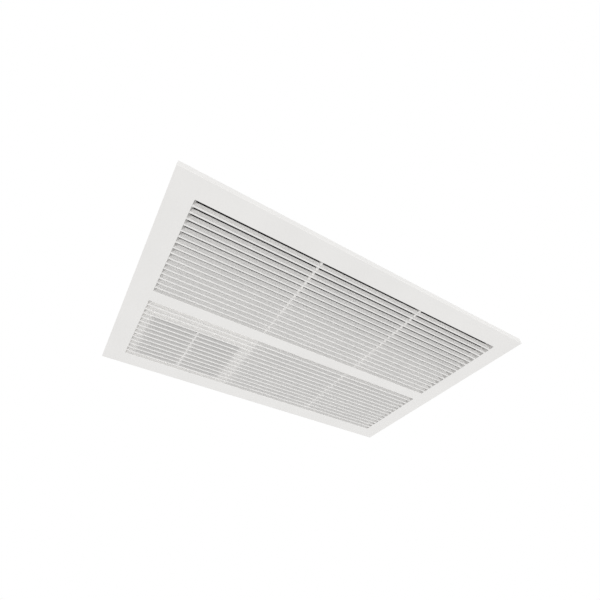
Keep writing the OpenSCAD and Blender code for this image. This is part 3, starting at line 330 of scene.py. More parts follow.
for part in frame["record"]["subparts"]:
    paint(NODES[part["node"]], part["material_slot"])
# The return bars take the coat with painted light towards their backs
paint(NODES["return_grille_bars"], "return_bar_painted_light")
# Ribs and divider take the paint darkened as painted shade
for name in ("grille_ribs", "outlet_divider"):
    paint(NODES[name], "rib_painted_shade")


# ---------------------------------------------------------------- mesh helpers

def piece(name, bm, body, slot, *replaced, sharp=40):
    """Turns a bmesh into a named piece that rides on a body and stands for the CAD nodes named. It is
    shaded smooth, apart from its edges over sharp degrees."""
    bmesh.ops.recalc_face_normals(bm, faces=bm.faces)
    mesh = bpy.data.meshes.new(name)
    bm.to_mesh(mesh)
    bm.free()
    mesh.polygons.foreach_set("use_smooth", [True] * len(mesh.polygons))
    mesh.set_sharp_from_angle(angle=math.radians(sharp))
    obj = bpy.data.objects.new(name, mesh)
    bpy.context.scene.collection.objects.link(obj)
    mesh.materials.append(MATERIALS[slot])
    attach(obj, body)
    if replaced:
        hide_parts(*replaced)
    return obj


def join_rings(bm, rings, closed_loop=False):
    """Faces between successive rings of vertices, with a cap on each end or back to the first ring."""
    count = len(rings[0])
    pairs = list(zip(rings, rings[1:]))
    if closed_loop:
        pairs.append((rings[-1], rings[0]))
    for a, b in pairs:
        for i in range(count):
            j = (i + 1) % count
            bm.faces.new((a[i], a[j], b[j], b[i]))
    if not closed_loop:
        bm.faces.new(rings[0][::-1])
        bm.faces.new(rings[-1])


def sweep(bm, path, section, side):
    """Section points (a, b) carried along a path: a along side, b square to side and to the path.
    section is a list, or a function of the index along the path."""
    rings = []
    side = Vector(side).normalized()
    for i, p in enumerate(path):
        ahead = path[min(i + 1, len(path) - 1)] - path[max(i - 1, 0)]
        up = ahead.normalized().cross(side).normalized()
        points = section(i) if callable(section) else section
        rings.append([bm.verts.new(p + side * a + up * b) for a, b in points])
    join_rings(bm, rings)


def circle(radius, count):
    angles = [2 * math.pi * k / count for k in range(count)]
    return [(radius * math.cos(t), radius * math.sin(t)) for t in angles]


def in_mm(points):
    return [(a * MM, b * MM) for a, b in points]


def lathe(bm, profile, origin, count, axis=(1, 0, 0), shape=None, hollow=False):
    """Turns (distance along axis, radius) points about an axis in count steps. Its ends get caps, or
    where it is hollow the profile closes on itself. shape(angle, index) scales the radius."""
    axis = Vector(axis).normalized()
    u = axis.orthogonal().normalized()
    v = axis.cross(u)
    rings = []
    for n, (along, radius) in enumerate(profile):
        ring = []
        for k in range(count):
            t = 2 * math.pi * k / count
            r = radius * (shape(t, n) if shape else 1)
            outward = (u * math.cos(t) + v * math.sin(t)) * r
            ring.append(bm.verts.new(Vector(origin) + axis * along + outward))
        rings.append(ring)
    join_rings(bm, rings, closed_loop=hollow)


def line(a, b, step):
    """Points from a to b, a step apart or a little less."""
    a, b = Vector(a), Vector(b)
    count = max(1, math.ceil((b - a).length / step))
    return [a.lerp(b, i / count) for i in range(count + 1)]


CORNER_STEPS = 3


def rounded_rect(w, h, r):
    """Outline of a w by h rectangle about the origin with rounded corners."""
    x, y = w / 2 - r, h / 2 - r
    points = []
    for cx, cy, start in ((x, y, 0), (-x, y, 90), (-x, -y, 180), (x, -y, 270)):
        for k in range(CORNER_STEPS + 1):
            t = math.radians(start + 90 * k / CORNER_STEPS)
            points.append((cx + r * math.cos(t), cy + r * math.sin(t)))
    return points


def middle_of(low, high):
    """(y, z) of a box's middle."""
    return (low.y + high.y) / 2, (low.z + high.z) / 2


def rumple(p, size, amount, seed=0.0):
    """A smooth offset between -amount and amount that changes over about size."""
    return noise.noise((p + Vector((seed, seed, seed))) / size) * amount


# ---------------------------------------------------------------- filter foam

FILTER_LIP = 7.0 * MM
FOAM_CELL = 4.5 * MM
# How far the pad stands out through its window, over what width it rises, and how uneven it is
BULGE = 0.9 * MM
RISE = 9 * MM
WAVE, DENT = 0.35 * MM, 0.3 * MM


def foam_pad(name, node):
    """Open-cell pad held at its rim: it bulges through the frame's window and its faces are uneven."""
    lo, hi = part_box(node)
    nx, ny = math.ceil((hi.x - lo.x) / FOAM_CELL), math.ceil((hi.y - lo.y) / FOAM_CELL)
    bm = bmesh.new()

    def level(x, y, base, out, seed):
        inward = min(x - lo.x, hi.x - x, y - lo.y, hi.y - y) - FILTER_LIP
        t = min(max(inward / RISE, 0), 1)
        p = Vector((x, y, 0))
        uneven = rumple(p, 14 * MM, WAVE, seed) + rumple(p, 4 * MM, DENT, seed + 5)
        return base + out * t * t * (3 - 2 * t) * (BULGE - WAVE) + uneven * t

    sheets = []
    for base, out, seed in ((lo.z, -1, 0.3), (hi.z, 1, 1.7)):
        grid = []
        for i in range(nx + 1):
            x = lo.x + (hi.x - lo.x) * i / nx
            ys = [lo.y + (hi.y - lo.y) * j / ny for j in range(ny + 1)]
            grid.append([bm.verts.new((x, y, level(x, y, base, out, seed))) for y in ys])
        sheets.append(grid)
    bottom, top = sheets
    for i in range(nx):
        for j in range(ny):
            bm.faces.new((bottom[i][j], bottom[i][j + 1], bottom[i + 1][j + 1], bottom[i + 1][j]))
            bm.faces.new((top[i][j], top[i + 1][j], top[i + 1][j + 1], top[i][j + 1]))
    rim = [(i, 0) for i in range(nx)] + [(nx, j) for j in range(ny)]
    rim += [(i, ny) for i in range(nx, 0, -1)] + [(0, j) for j in range(ny, 0, -1)]
    for (i, j), (k, m) in zip(rim, rim[1:] + rim[:1]):
        bm.faces.new((bottom[i][j], bottom[k][m], top[k][m], top[i][j]))
    return piece(name, bm, "panel", "filter_foam", node)


return_foam = foam_pad("return_filter_foam", "return_filter_media")
side_foam = foam_pad("side_filter_foam", "side_filter_media")


# ---------------------------------------------------------------- foam strips

STRIP_STEP = 8 * MM
STRIP_PLAY = 0.15 * MM


def strip_ring(name, node, body, width, corner):
    """Four foam strips butted at the corners: the two along X run through, the other two stand
    between."""
    lo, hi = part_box(node)
    height = hi.z - lo.z
    middle = (hi.z + lo.z) / 2
    half = width / 2
    near, far = lo.y + width + STRIP_PLAY, hi.y - width - STRIP_PLAY
    bm = bmesh.new()
    runs = [
        ((lo.x, lo.y + half), (hi.x, lo.y + half)),
        ((lo.x, hi.y - half), (hi.x, hi.y - half)),
        ((lo.x + half, near), (lo.x + half, far)),
        ((hi.x - half, near), (hi.x - half, far)),
    ]
    for n, (a, b) in enumerate(runs):
        path = line((*a, middle), (*b, middle), STRIP_STEP)
        side = (0, 1, 0) if n < 2 else (1, 0, 0)

        def section(i, path=path, n=n):
            slow, fast = rumple(path[i], 45 * MM, 0.05, n), rumple(path[i], 11 * MM, 0.03, n + 4)
            squeeze = 1 - abs(slow) - abs(fast)
            return [(x * squeeze, z * squeeze) for x, z in rounded_rect(width, height, corner)]

        sweep(bm, path, section, side)
    return piece(name, bm, body, "foam_black", node)


seal_foam = strip_ring("ceiling_seal_foam", "ceiling_seal", "panel", 10 * MM, 2.2 * MM)
gasket_foam = strip_ring("duct_gasket_foam", "duct_gasket", "casing", 9.2 * MM, 1.6 * MM)


# ---------------------------------------------------------------- acoustic lining

def foam_board(bm, xs, ys, place, keep=lambda x, y: True):
    """Board over the kept cells of a grid. place(x, y, depth) gives a point, depth running from 0 at
    the back to 1."""
    front, back = {}, {}

    def vert(store, i, j, depth):
        if (i, j) not in store:
            store[i, j] = bm.verts.new(place(xs[i], ys[j], depth))
        return store[i, j]

    cells = {(i, j) for i in range(len(xs) - 1) for j in range(len(ys) - 1)
             if keep((xs[i] + xs[i + 1]) / 2, (ys[j] + ys[j + 1]) / 2)}
    for i, j in cells:
        corners = [(i, j), (i + 1, j), (i + 1, j + 1), (i, j + 1)]
        bm.faces.new([vert(front, *c, 1) for c in corners])
        bm.faces.new([vert(back, *c, 0) for c in reversed(corners)])
        across = [(i, j - 1), (i + 1, j), (i, j + 1), (i - 1, j)]
        for a, b, other in zip(corners, corners[1:] + corners[:1], across):
            if other not in cells:
                near = [vert(front, *a, 1), vert(back, *a, 0)]
                bm.faces.new(near + [vert(back, *b, 0), vert(front, *b, 1)])


def steps_between(stops, step):
    """Rising values through all the stops, never further apart than step."""
    values = [stops[0]]
    for a, b in zip(stops, stops[1:]):
        count = max(1, math.ceil((b - a) / step))
        values += [a + (b - a) * (k + 1) / count for k in range(count)]
    return values


LINING_LOW, LINING_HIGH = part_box("acoustic_lining")
HANGER_LOW, HANGER_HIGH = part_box("blower_hangers")
ROOF = LINING_HIGH.z
LINING_T = 10 * MM
LINING_STEP = 14 * MM
# Room left round the blower's feet, between the two boards, and at the slope's lower and upper ends
ROOM = 3 * MM
BOARD_GAP = 17 * MM
SLOPE_FOOT, SLOPE_HEAD = 6 * MM, 8 * MM
HANGER_FOOT = 16 * MM
# The casing's near side leans in from its knee (y, z)
SLOPE = math.radians(29)
KNEE = (-0.268, 0.060)
SHEET = 1.2 * MM


def slope_point(inset, z):
    """Y of the near side's slope at height z, set in from its outer face."""
    return KNEE[0] + inset / math.cos(SLOPE) + (z - KNEE[1]) * math.tan(SLOPE)


def board_depth(p):
    """Thickness of a board at a point of its grid, in slow waves just under the full one."""
    return LINING_T - 0.5 * MM - rumple(p, 40 * MM, 0.5 * MM)


def on_roof(x, y, depth):
    p = Vector((x, y, 0))
    return Vector((x, y, ROOF - depth * (board_depth(p) - rumple(p, 16 * MM, 0.3 * MM))))


def on_slope(x, z, depth):
    return Vector((x, slope_point(SHEET + depth * board_depth(Vector((x, z, 0))), z), z))


feet = [
    (HANGER_LOW.x - ROOM, HANGER_LOW.x + HANGER_FOOT + ROOM),
    (HANGER_HIGH.x - HANGER_FOOT - ROOM, HANGER_HIGH.x + ROOM),
]
foot_y = (HANGER_LOW.y - ROOM, HANGER_HIGH.y + ROOM)


def off_the_feet(x, y):
    return not (foot_y[0] < y < foot_y[1] and any(a < x < b for a, b in feet))


bm = bmesh.new()
foam_board(
    bm,
    steps_between([LINING_LOW.x, *feet[0], *feet[1], LINING_HIGH.x], LINING_STEP),
    steps_between([slope_point(SHEET, ROOF) + BOARD_GAP, *foot_y, LINING_HIGH.y], LINING_STEP),
    on_roof,
    off_the_feet,
)
foam_board(
    bm,
    steps_between([LINING_LOW.x, LINING_HIGH.x], LINING_STEP),
    steps_between([KNEE[1] + SLOPE_FOOT, ROOF - LINING_T - SLOPE_HEAD], LINING_STEP),
    on_slope,
)
lining = piece("acoustic_lining_foam", bm, "casing", "lining_foam", "acoustic_lining")
rounding = lining.modifiers.new("rim", "BEVEL")
rounding.width = 2.2 * MM
rounding.segments = 3
rounding.angle_limit = math.radians(50)


# ---------------------------------------------------------------- motor grommets, motor shell

AXIS_Y, AXIS_Z = middle_of(*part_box("motor_shaft"))
GROMMET_RING = 90 * MM
GROMMET_ANGLES = (60, 180, 300)
GROMMET_PROFILE = in_mm([
    (0, 0.2), (0, 5.6), (0.4, 6.6), (1.1, 7.0), (1.9, 7.0), (2.5, 6.3), (3.0, 6.05),
    (3.5, 6.3), (4.1, 7.0), (4.9, 7.0), (5.6, 6.6), (6.0, 5.6), (6.0, 0.2),
])
grommet_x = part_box("motor_grommets")[0].x
bm = bmesh.new()
for angle in GROMMET_ANGLES:
    a = math.radians(angle)
    centre = (grommet_x, AXIS_Y - GROMMET_RING * math.sin(a), AXIS_Z - GROMMET_RING * math.cos(a))
    lathe(bm, GROMMET_PROFILE, centre, 28)
piece("motor_grommets_rubber", bm, "casing", "rubber_black", "motor_grommets")

m_lo, m_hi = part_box("motor_shell")
MOTOR_R = (m_hi.z - m_lo.z) / 2
LENGTH = m_hi.x - m_lo.x
WALL, CAP = 2.2 * MM, 3 * MM
SEAT, SHAFT_HOLE, BOSS_R, BOSS = 11.05 * MM, 7.0 * MM, 14 * MM, 13 * MM
# The outer wall is drawn in by this much from the CAD shell's, apart from the crest of its bead
SET_IN = 0.3 * MM
SHOULDER, SHOULDER_R = 5 * MM, 35 * MM
BEAD = [(12, 0), (13, -0.7), (14.5, -0.7), (15.5, 0), (17, 0), (18, 0.3), (19, 0)]
outer = [(0, SHAFT_HOLE)] + in_mm([(0, 16), (1.2, 18), (1.2, 30), (0.3, 32), (0.3, 35)])
for k in range(1, 7):
    t = math.radians(15 * k)
    outer.append((SET_IN + SHOULDER * (1 - math.cos(t)),
                  SHOULDER_R + (MOTOR_R - SHOULDER_R - SET_IN) * math.sin(t)))
outer += [(x * MM, MOTOR_R - SET_IN + r * MM) for x, r in BEAD]
outer += [(LENGTH - x, r) for x, r in reversed(outer)]
inner = [
    (LENGTH - CAP, SHAFT_HOLE), (LENGTH - CAP, SEAT), (LENGTH - BOSS, SEAT), (LENGTH - BOSS, BOSS_R),
    (LENGTH - CAP, BOSS_R), (LENGTH - CAP - 1 * MM, MOTOR_R - WALL - 4 * MM),
    (LENGTH - CAP - 6 * MM, MOTOR_R - WALL),
]
inner += [(LENGTH - x, r) for x, r in reversed(inner)]
bm = bmesh.new()
lathe(bm, outer + inner, (m_lo.x, AXIS_Y, AXIS_Z), 56, hollow=True)
piece("motor_shell_rolled", bm, "casing", "bare_steel", "motor_shell", sharp=50)


# ---------------------------------------------------------------- sleeved leads

def lead_path(y, x_from, x_bend, x_to, z_high, z_low, bend, step):
    """Along -X at z_high, down at x_bend and along -X again at z_low."""
    arc = max(6, math.ceil(bend * math.pi / 2 / step))
    angles = [math.pi / 2 * k / arc for k in range(1, arc + 1)]
    points = line((x_from, y, z_high), (x_bend + bend, y, z_high), step)
    for t in angles:
        x, z = x_bend + bend - bend * math.sin(t), z_high - bend + bend * math.cos(t)
        points.append(Vector((x, y, z)))
    points += line((x_bend, y, z_high - bend), (x_bend, y, z_low + bend), step)[1:]
    for t in angles:
        x, z = x_bend - bend * (1 - math.cos(t)), z_low + bend - bend * math.sin(t)
        points.append(Vector((x, y, z)))
    points += line((x_bend - bend, y, z_low), (x_to, y, z_low), step)[1:]
    return points


def corrugated(bm, path, radius, depth):
    """Sleeve that stands out for two of every four steps of the path, and is plain at its ends."""
    wave = (radius, radius, radius - depth, radius - depth)

    def section(i):
        ridged = len(wave) <= i < len(path) - len(wave)
        return circle(wave[i % len(wave)] if ridged else radius, 16)

    sweep(bm, path, section, (0, 1, 0))


BOX_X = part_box("electrical_box")[0].x
COVER_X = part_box("terminal_cover")[1].x
LID_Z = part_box("electrical_lid")[1].z
ELEMENT_Z = 36 * MM
heater_lead = lead_path(
    HOLE_Y[0] + 16 * MM, BOX_X, COVER_X + 50 * MM, COVER_X,
    LID_Z + 15 * MM, ELEMENT_Z, bend=22 * MM, step=1.1 * MM)
motor_lead = lead_path(
    AXIS_Y, BOX_X, m_hi.x + 30 * MM, m_hi.x,
    AXIS_Z + MOTOR_R + 10 * MM, AXIS_Z + MOTOR_R - 16 * MM, bend=12 * MM, step=0.9 * MM)
bm = bmesh.new()
corrugated(bm, heater_lead, 6 * MM, 0.8 * MM)
corrugated(bm, motor_lead, 4 * MM, 0.6 * MM)
piece("lead_sleeves", bm, "casing", "plastic_black", "internal_leads", sharp=80)


# ---------------------------------------------------------------- heating elements

LEG_PITCH = 27 * MM
SHEATH_R, FIN_R, FIN_T, FIN_PITCH = 4.25 * MM, 12 * MM, 0.5 * MM, 7 * MM
# Outline of a fin's root and of its crimped part, and a leg's length without fins at each end
FIN_ROOT, FIN_CRIMPED = SHEATH_R - 0.2 * MM, SHEATH_R + 2.2 * MM
CRIMP, CRIMPS_PER_TURN = 0.25 * MM, 9
PLAIN_END = 18 * MM
LEG_STEP, BEND_STEPS, TURN_STEPS = 30 * MM, 16, 24
STUD = 8 * MM
BUSH_R, BUSH_T = 8 * MM, 3 * MM
BUSH_PROFILE = [
    (0, 1 * MM), (0, BUSH_R), (BUSH_T - 0.6 * MM, BUSH_R), (BUSH_T, BUSH_R - 0.8 * MM),
    (BUSH_T, SHEATH_R - 0.1 * MM),
]
STUD_PROFILE = in_mm([(0, 1.5)])
for k in range(14):
    STUD_PROFILE += in_mm([(k * 0.5 + 0.25, 1.3), (k * 0.5 + 0.5, 1.5)])
STUD_PROFILE.append((STUD, 1.2 * MM))
NUT_PROFILE = in_mm([(1, 1.4), (1, 2.6), (1.3, 3.0), (2.9, 3.0), (3.2, 2.6), (3.2, 1.4)])

e_lo, e_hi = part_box("heating_elements")
ELEMENT_Y = (e_lo.y + e_hi.y) / 2
leg_end = e_hi.x - STUD
bush_x = leg_end - 7.8 * MM
bend_x = e_lo.x + LEG_PITCH / 2 + SHEATH_R


def add_sheath(bm, middle):
    """Tube bent to a U whose legs stand on both sides of y = middle."""
    half = LEG_PITCH / 2
    path = line((leg_end, middle - half, ELEMENT_Z), (bend_x, middle - half, ELEMENT_Z), LEG_STEP)
    for k in range(1, BEND_STEPS):
        t = math.pi * k / BEND_STEPS
        path.append(Vector((bend_x - half * math.sin(t), middle - half * math.cos(t), ELEMENT_Z)))
    path += line((bend_x, middle + half, ELEMENT_Z), (leg_end, middle + half, ELEMENT_Z), LEG_STEP)
    sweep(bm, path, circle(SHEATH_R, 20), (0, 0, 1))


def add_fin(bm, y, side):
    """Crimped fin wound round the leg at y, one way or the other by its side of the U."""
    start, end = bend_x + PLAIN_END, leg_end - PLAIN_END - FIN_T
    turns = math.floor((end - start) / FIN_PITCH)
    rings = []
    for k in range(turns * TURN_STEPS + 1):
        t = 2 * math.pi * k / TURN_STEPS
        x = start + FIN_PITCH * k / TURN_STEPS
        crimp = CRIMP * math.sin(t * CRIMPS_PER_TURN)
        section = [(0, FIN_ROOT), (crimp, FIN_CRIMPED), (0, FIN_R),
                   (FIN_T, FIN_R), (FIN_T + crimp, FIN_CRIMPED), (FIN_T, FIN_ROOT)]
        rings.append([bm.verts.new((x + dx, y + side * r * math.sin(t), ELEMENT_Z + r * math.cos(t)))
                      for dx, r in section])
    join_rings(bm, rings)


bm = bmesh.new()
for row in (-2, 0, 2):
    middle = ELEMENT_Y + row * LEG_PITCH
    add_sheath(bm, middle)
    for side in (-1, 1):
        y = middle + side * LEG_PITCH / 2
        add_fin(bm, y, side)
        lathe(bm, BUSH_PROFILE, (bush_x, y, ELEMENT_Z), 6)
        lathe(bm, STUD_PROFILE, (leg_end, y, ELEMENT_Z), 12)
        lathe(bm, NUT_PROFILE, (leg_end, y, ELEMENT_Z), 6)
piece("heating_elements_finned", bm, "casing", "element_steel", "heating_elements", sharp=45)


# ---------------------------------------------------------------- sheet metal screws

def islands(node):
    """Vertex positions of each separate solid of a CAD node."""
    data = NODES[node].data
    key = [tuple(round(c, 6) for c in v.co) for v in data.vertices]
    parent = {k: k for k in key}

    def root(k):
        while parent[k] != k:
            parent[k] = parent[parent[k]]
            k = parent[k]
        return k

    for face in data.polygons:
        ids = face.vertices
        for other in ids[1:]:
            parent[root(key[other])] = root(key[ids[0]])
    groups = {}
    for k in parent:
        groups.setdefault(root(k), []).append(Vector(k))
    return [groups[k] for k in sorted(groups)]


# Reach of the end round a screw's farthest point, and where its other end starts
NEAR_END, OTHER_END = 7.6 * MM, 9.2 * MM
# Depth of the outermost layer by which the wider end is known, and of the rim of its top
LAYER, RIM = 1 * MM, 0.2 * MM


def mean(points):
    return sum(points, Vector()) / len(points)


def screw_top(solid):
    """(middle of the head's top, unit direction towards it) of a screw's vertices. Its head is the
    wider one of its two ends."""
    base = mean(solid)
    far = max(solid, key=lambda p: (p - base).length)
    near_end = mean([p for p in solid if (p - far).length < NEAR_END])
    other_end = mean([p for p in solid if (p - far).length > OTHER_END])

    def layer(along, depth):
        top = max((p - base).dot(along) for p in solid)
        return [p for p in solid if (p - base).dot(along) > top - depth]

    def width(along):
        return max(((p - base) - along * (p - base).dot(along)).length for p in layer(along, LAYER))

    ways = ((near_end - other_end).normalized(), (other_end - near_end).normalized())
    along = max(ways, key=width)
    return mean(layer(along, RIM)), along


# A screw's sizes in millimetres, and the profiles of its washer, its hexagon with a shallow dish and
# its threaded shank with a point, from the seat of its head
HEAD_R, HEAD_H, SHANK_R, SHANK_LEN = 3.5, 2, 1.6, 9
WASHER = in_mm([(-0.02, SHANK_R), (0, HEAD_R - 0.1), (0.25, HEAD_R), (0.6, HEAD_R - 0.15), (0.65, 2.7)])
HEXAGON = in_mm([(0.5, 2.9), (1.7, 2.9), (HEAD_H, 2.55), (HEAD_H, 1.7), (HEAD_H - 0.3, 1.2)])
SHANK = in_mm([(0.1, SHANK_R)])
for k in range(10):
    SHANK += in_mm([(-(0.4 + k * 0.75), SHANK_R - 0.35), (-(0.78 + k * 0.75), SHANK_R)])
SHANK += in_mm([(-8.1, 1.0), (-SHANK_LEN, 0.15)])

bm = bmesh.new()
for solid in islands("sheet_metal_screws"):
    top, along = screw_top(solid)
    seat = top - along * (HEAD_H * MM)
    for profile, count in ((WASHER, 24), (HEXAGON, 6), (SHANK, 10)):
        lathe(bm, profile, seat, count, along)
piece("sheet_metal_screws_hex", bm, "casing", "zinc_plate", "sheet_metal_screws", sharp=35)


# ---------------------------------------------------------------- cable gland

gl_lo, gl_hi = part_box("cable_gland")
GLAND_Y, GLAND_Z = middle_of(gl_lo, gl_hi)
# Sizes and profiles in millimetres. The thread starts at the gland's inner end, the rest at its seat.
BORE = 6.5
THREAD_R, THREAD_PITCH, THREAD_LEN = 10, 0.8, 12
NUT_R, NUT_CHAMFER = 14, 0.7
DOME = [(6.2, 7.2), (6.2, 11.6), (6.6, 12.0), (13.2, 12.0), (15.0, 11.5), (16.6, 10.3), (17.7, 8.9),
        (18.0, 8.2), (17.9, 7.3)]
INSERT = [(-6.0, 6.5), (-6.0, 7.4), (16.2, 7.4), (17.6, 7.6), (17.9, 7.2), (17.6, 6.7), (16.8, 6.5)]
seat_x = gl_hi.x - 18 * MM


def flutes(t, n):
    """Eight shallow flutes round the dome, over the middle points of its profile."""
    return 1 - (0.055 * max(0, math.cos(8 * t)) ** 2 if 1 < n < 6 else 0)


bm = bmesh.new()
thread = [(0, BORE + 0.6)]
for k in range(14):
    thread += [(k * THREAD_PITCH, THREAD_R - 0.4), (k * THREAD_PITCH + 0.4, THREAD_R)]
thread += [(THREAD_LEN, THREAD_R - 0.4), (THREAD_LEN, BORE + 0.6)]
lathe(bm, in_mm(thread), (gl_lo.x, GLAND_Y, GLAND_Z), 32, hollow=True)
for x, thick in ((seat_x, 6), (seat_x - 7.4 * MM, 5)):
    nut = [(0, BORE + 0.7), (0, NUT_R - 0.8), (NUT_CHAMFER, NUT_R),
           (thick - NUT_CHAMFER, NUT_R), (thick, NUT_R - 0.8), (thick, BORE + 0.7)]
    lathe(bm, in_mm(nut), (x, GLAND_Y, GLAND_Z), 6, hollow=True)
lathe(bm, in_mm(DOME), (seat_x, GLAND_Y, GLAND_Z), 64, shape=flutes, hollow=True)
piece("cable_gland_body", bm, "casing", "plastic_black", "cable_gland", sharp=35)
bm = bmesh.new()
lathe(bm, in_mm(INSERT), (seat_x, GLAND_Y, GLAND_Z), 40, hollow=True)
piece("cable_gland_insert", bm, "casing", "rubber_black", sharp=35)


# ---------------------------------------------------------------- weld beads on the hanger lugs

lug_lo, lug_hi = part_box("hanger_lugs")
LUG_W, LUG_LEG = 40 * MM, 40 * MM
LUG_X = 430 * MM
BEAD_STEP = 0.5 * MM
# Steps of a bead that ripple, the ones before and after them being its thin ends
RIPPLED = range(2, 62)


def weld_bead(i):
    return circle((1.7 + 0.3 * math.sin(i * 1.25)) * MM if i in RIPPLED else 1.0 * MM, 10)


bm = bmesh.new()
for side in (-1, 1):
    for y in (lug_lo.y + LUG_W / 2, lug_hi.y - LUG_W / 2):
        for edge in (-1, 1):
            start = Vector((
                side * (LUG_X + 0.5 * MM),
                y + edge * (LUG_W / 2 + 0.3 * MM),
                lug_hi.z - LUG_LEG + 3 * MM,
            ))
            path = line(start, start + Vector((0, 0, LUG_LEG - 8 * MM)), BEAD_STEP)
            sweep(bm, path, weld_bead, (1, 0, 0))
piece("lug_weld_beads", bm, "casing", "zinc_plate", sharp=60)


# ---------------------------------------------------------------- rounded edges of sheet and bars

def soften(node, width):
    """Rounds a CAD node's edges; its own mesh stays as it is."""
    obj = NODES[node]
    weld = obj.modifiers.new("weld", "WELD")
    weld.merge_threshold = 0.01 * MM
    flat = obj.modifiers.new("flat", "DECIMATE")
    flat.decimate_type = "DISSOLVE"
    flat.angle_limit = math.radians(1)
    bevel = obj.modifiers.new("edges", "BEVEL")
    bevel.width = width
    bevel.segments = 2
    bevel.limit_method = "ANGLE"
    bevel.angle_limit = math.radians(35)
    bevel.harden_normals = True


# Width of the rounding in metres, and the nodes that get it
SOFT_EDGES = {
    0.0006: [
        "panel_frame", "hanger_lugs", "drop_links", "hinge_ears", "link_guides", "magnetic_catches",
        "terminal_block", "contactor", "filter_clip_posts", "hinge_rod", "run_capacitor", "wheel_hub",
    ],
    0.0004: [
        "return_grille_bars", "outlet_grille_bars", "grille_ribs", "outlet_plate", "outlet_divider",
        "catch_strikes", "filter_hooks", "filter_clip_left", "filter_clip_middle",
        "filter_clip_right", "terminal_cover", "electrical_lid",
    ],
    0.0003: [
        "return_filter_frame", "side_filter_frame", "casing_top", "casing_side_near",
        "casing_side_far", "casing_end_left", "casing_end_right", "motor_arms", "blower_hangers",
        "heater_duct", "electrical_box", "electrical_box_ends", "scroll_wrapper",
    ],
    0.00015: ["cutout_body", "reset_button"],
}
for width, names in SOFT_EDGES.items():
    for name in names:
        soften(name, width)


def smooth_by_angle(limit):
    """Node group that shades a mesh smooth, apart from its edges over the limit in degrees."""
    group = bpy.data.node_groups.new("smooth_by_angle", "GeometryNodeTree")
    group.interface.new_socket("Geometry", in_out="INPUT", socket_type="NodeSocketGeometry")
    group.interface.new_socket("Geometry", in_out="OUTPUT", socket_type="NodeSocketGeometry")
    start, end = group.nodes.new("NodeGroupInput"), group.nodes.new("NodeGroupOutput")
    faces, edges = (group.nodes.new("GeometryNodeSetShadeSmooth") for _ in range(2))
    edges.domain = "EDGE"
    angle = group.nodes.new("GeometryNodeInputMeshEdgeAngle")
    small = group.nodes.new("FunctionNodeCompare")
    small.operation = "LESS_THAN"
    small.inputs["B"].default_value = math.radians(limit)
    group.links.new(angle.outputs["Unsigned Angle"], small.inputs["A"])
    group.links.new(start.outputs[0], faces.inputs["Geometry"])
    group.links.new(faces.outputs[0], edges.inputs["Geometry"])
    group.links.new(small.outputs["Result"], edges.inputs["Shade Smooth"])
    group.links.new(edges.outputs[0], end.inputs[0])
    return group


SMOOTH = smooth_by_angle(32)
for name in ("scroll_wrapper", "scroll_side_left", "scroll_side_right"):
    NODES[name].modifiers.new("smooth", "NODES").node_group = SMOOTH


# ---------------------------------------------------------------- stage, light and camera

FLOOR_Z = -1.6
FLOOR_HALF = 40.0
mesh = bpy.data.meshes.new("floor")
corners = [(x * FLOOR_HALF, y * FLOOR_HALF, FLOOR_Z) for x, y in ((-1, -1), (1, -1), (1, 1), (-1, 1))]
mesh.from_pydata(corners, [], [(0, 1, 2, 3)])
floor = bpy.data.objects.new("floor", mesh)
bpy.context.scene.collection.objects.link(floor)
floor_look = Shader("floor_paint", (0.86, 0.86, 0.86), 0.8)
dark, light = (0.85, 0.85, 0.85), (0.87, 0.87, 0.87)
floor_look.color(floor_look.ramp(floor_look.noise(2, 2), (0.3, dark), (0.7, light)))
mesh.materials.append(floor_look.material)

WORLD_LIGHT = 0.28
world = bpy.data.worlds.new("studio")
world.use_nodes = True
bpy.context.scene.world = world
tree = world.node_tree
tree.nodes.clear()


def either(a, b):
    made = tree.nodes.new("ShaderNodeMath")
    made.operation = "MAXIMUM"
    tree.links.new(a, made.inputs[0])
    tree.links.new(b, made.inputs[1])
    return made.outputs[0]


def white(strength):
    made = tree.nodes.new("ShaderNodeBackground")
    made.inputs["Color"].default_value = (1, 1, 1, 1)
    made.inputs["Strength"].default_value = strength
    return made.outputs[0]


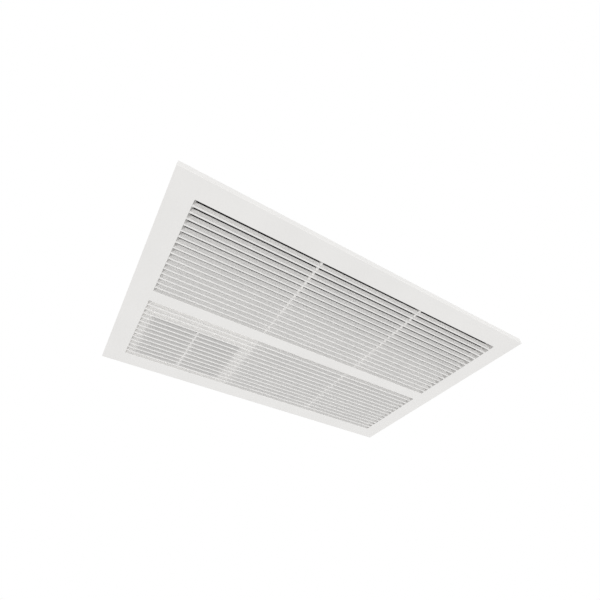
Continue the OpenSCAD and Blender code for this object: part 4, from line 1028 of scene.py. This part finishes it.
# The camera, and what metal and glass show, see white; all else is lit by the weaker world light
rays = tree.nodes.new("ShaderNodeLightPath").outputs
seen = either(either(rays["Is Camera Ray"], rays["Is Glossy Ray"]), rays["Is Transmission Ray"])
pick = tree.nodes.new("ShaderNodeMixShader")
tree.links.new(seen, pick.inputs["Fac"])
tree.links.new(white(WORLD_LIGHT), pick.inputs[1])
tree.links.new(white(1.0), pick.inputs[2])
tree.links.new(pick.outputs[0], tree.nodes.new("ShaderNodeOutputWorld").inputs["Surface"])


def sun(name, toward, energy, angle):
    """Wide sun that shines from the direction given on the origin and leaves no glare on metal."""
    data = bpy.data.lights.new(name, "SUN")
    data.energy = energy
    data.angle = math.radians(angle)
    lamp = bpy.data.objects.new(name, data)
    lamp.rotation_mode = "QUATERNION"
    lamp.rotation_quaternion = (-Vector(toward)).to_track_quat("-Z", "Y")
    lamp.visible_glossy = False
    bpy.context.scene.collection.objects.link(lamp)


sun("below_left", (-0.4, -0.5, -0.71), 1.81, 30)
sun("below_right", (0.4, -0.5, -0.71), 1.33, 30)
sun("above", (0.35, -0.5, 0.85), 1.7, 12)
sun("above_far", (-0.35, 0.85, 0.45), 1.7, 12)
# The lamps below the floor shine through it, and it doesn't light the face from below
floor.visible_shadow = False
floor.visible_diffuse = False

# The camera, fitted to the photograph. Its focal length is in pixels of a picture 600 pixels wide.
EYE = Vector((-0.4145, -0.6426, -0.6157))
FORWARD = Vector((0.36237, 0.59581, 0.71673)).normalized()
UPRIGHT = Vector((-0.37351, -0.61171, 0.69740))
FOCAL, PICTURE = 372.12, 600
SENSOR = 36.0
right = FORWARD.cross(UPRIGHT).normalized()
axes = Matrix((right, right.cross(FORWARD), -FORWARD))
camera = bpy.data.objects.new("camera", bpy.data.cameras.new("camera"))
camera.data.sensor_fit = "HORIZONTAL"
camera.data.sensor_width = SENSOR
camera.data.lens = SENSOR * FOCAL / PICTURE
camera.data.clip_start = 0.01
camera.location = EYE
camera.rotation_mode = "QUATERNION"
camera.rotation_quaternion = axes.transposed().to_quaternion()
bpy.context.scene.collection.objects.link(camera)
bpy.context.scene.camera = camera
bpy.context.scene.view_settings.view_transform = "Standard"
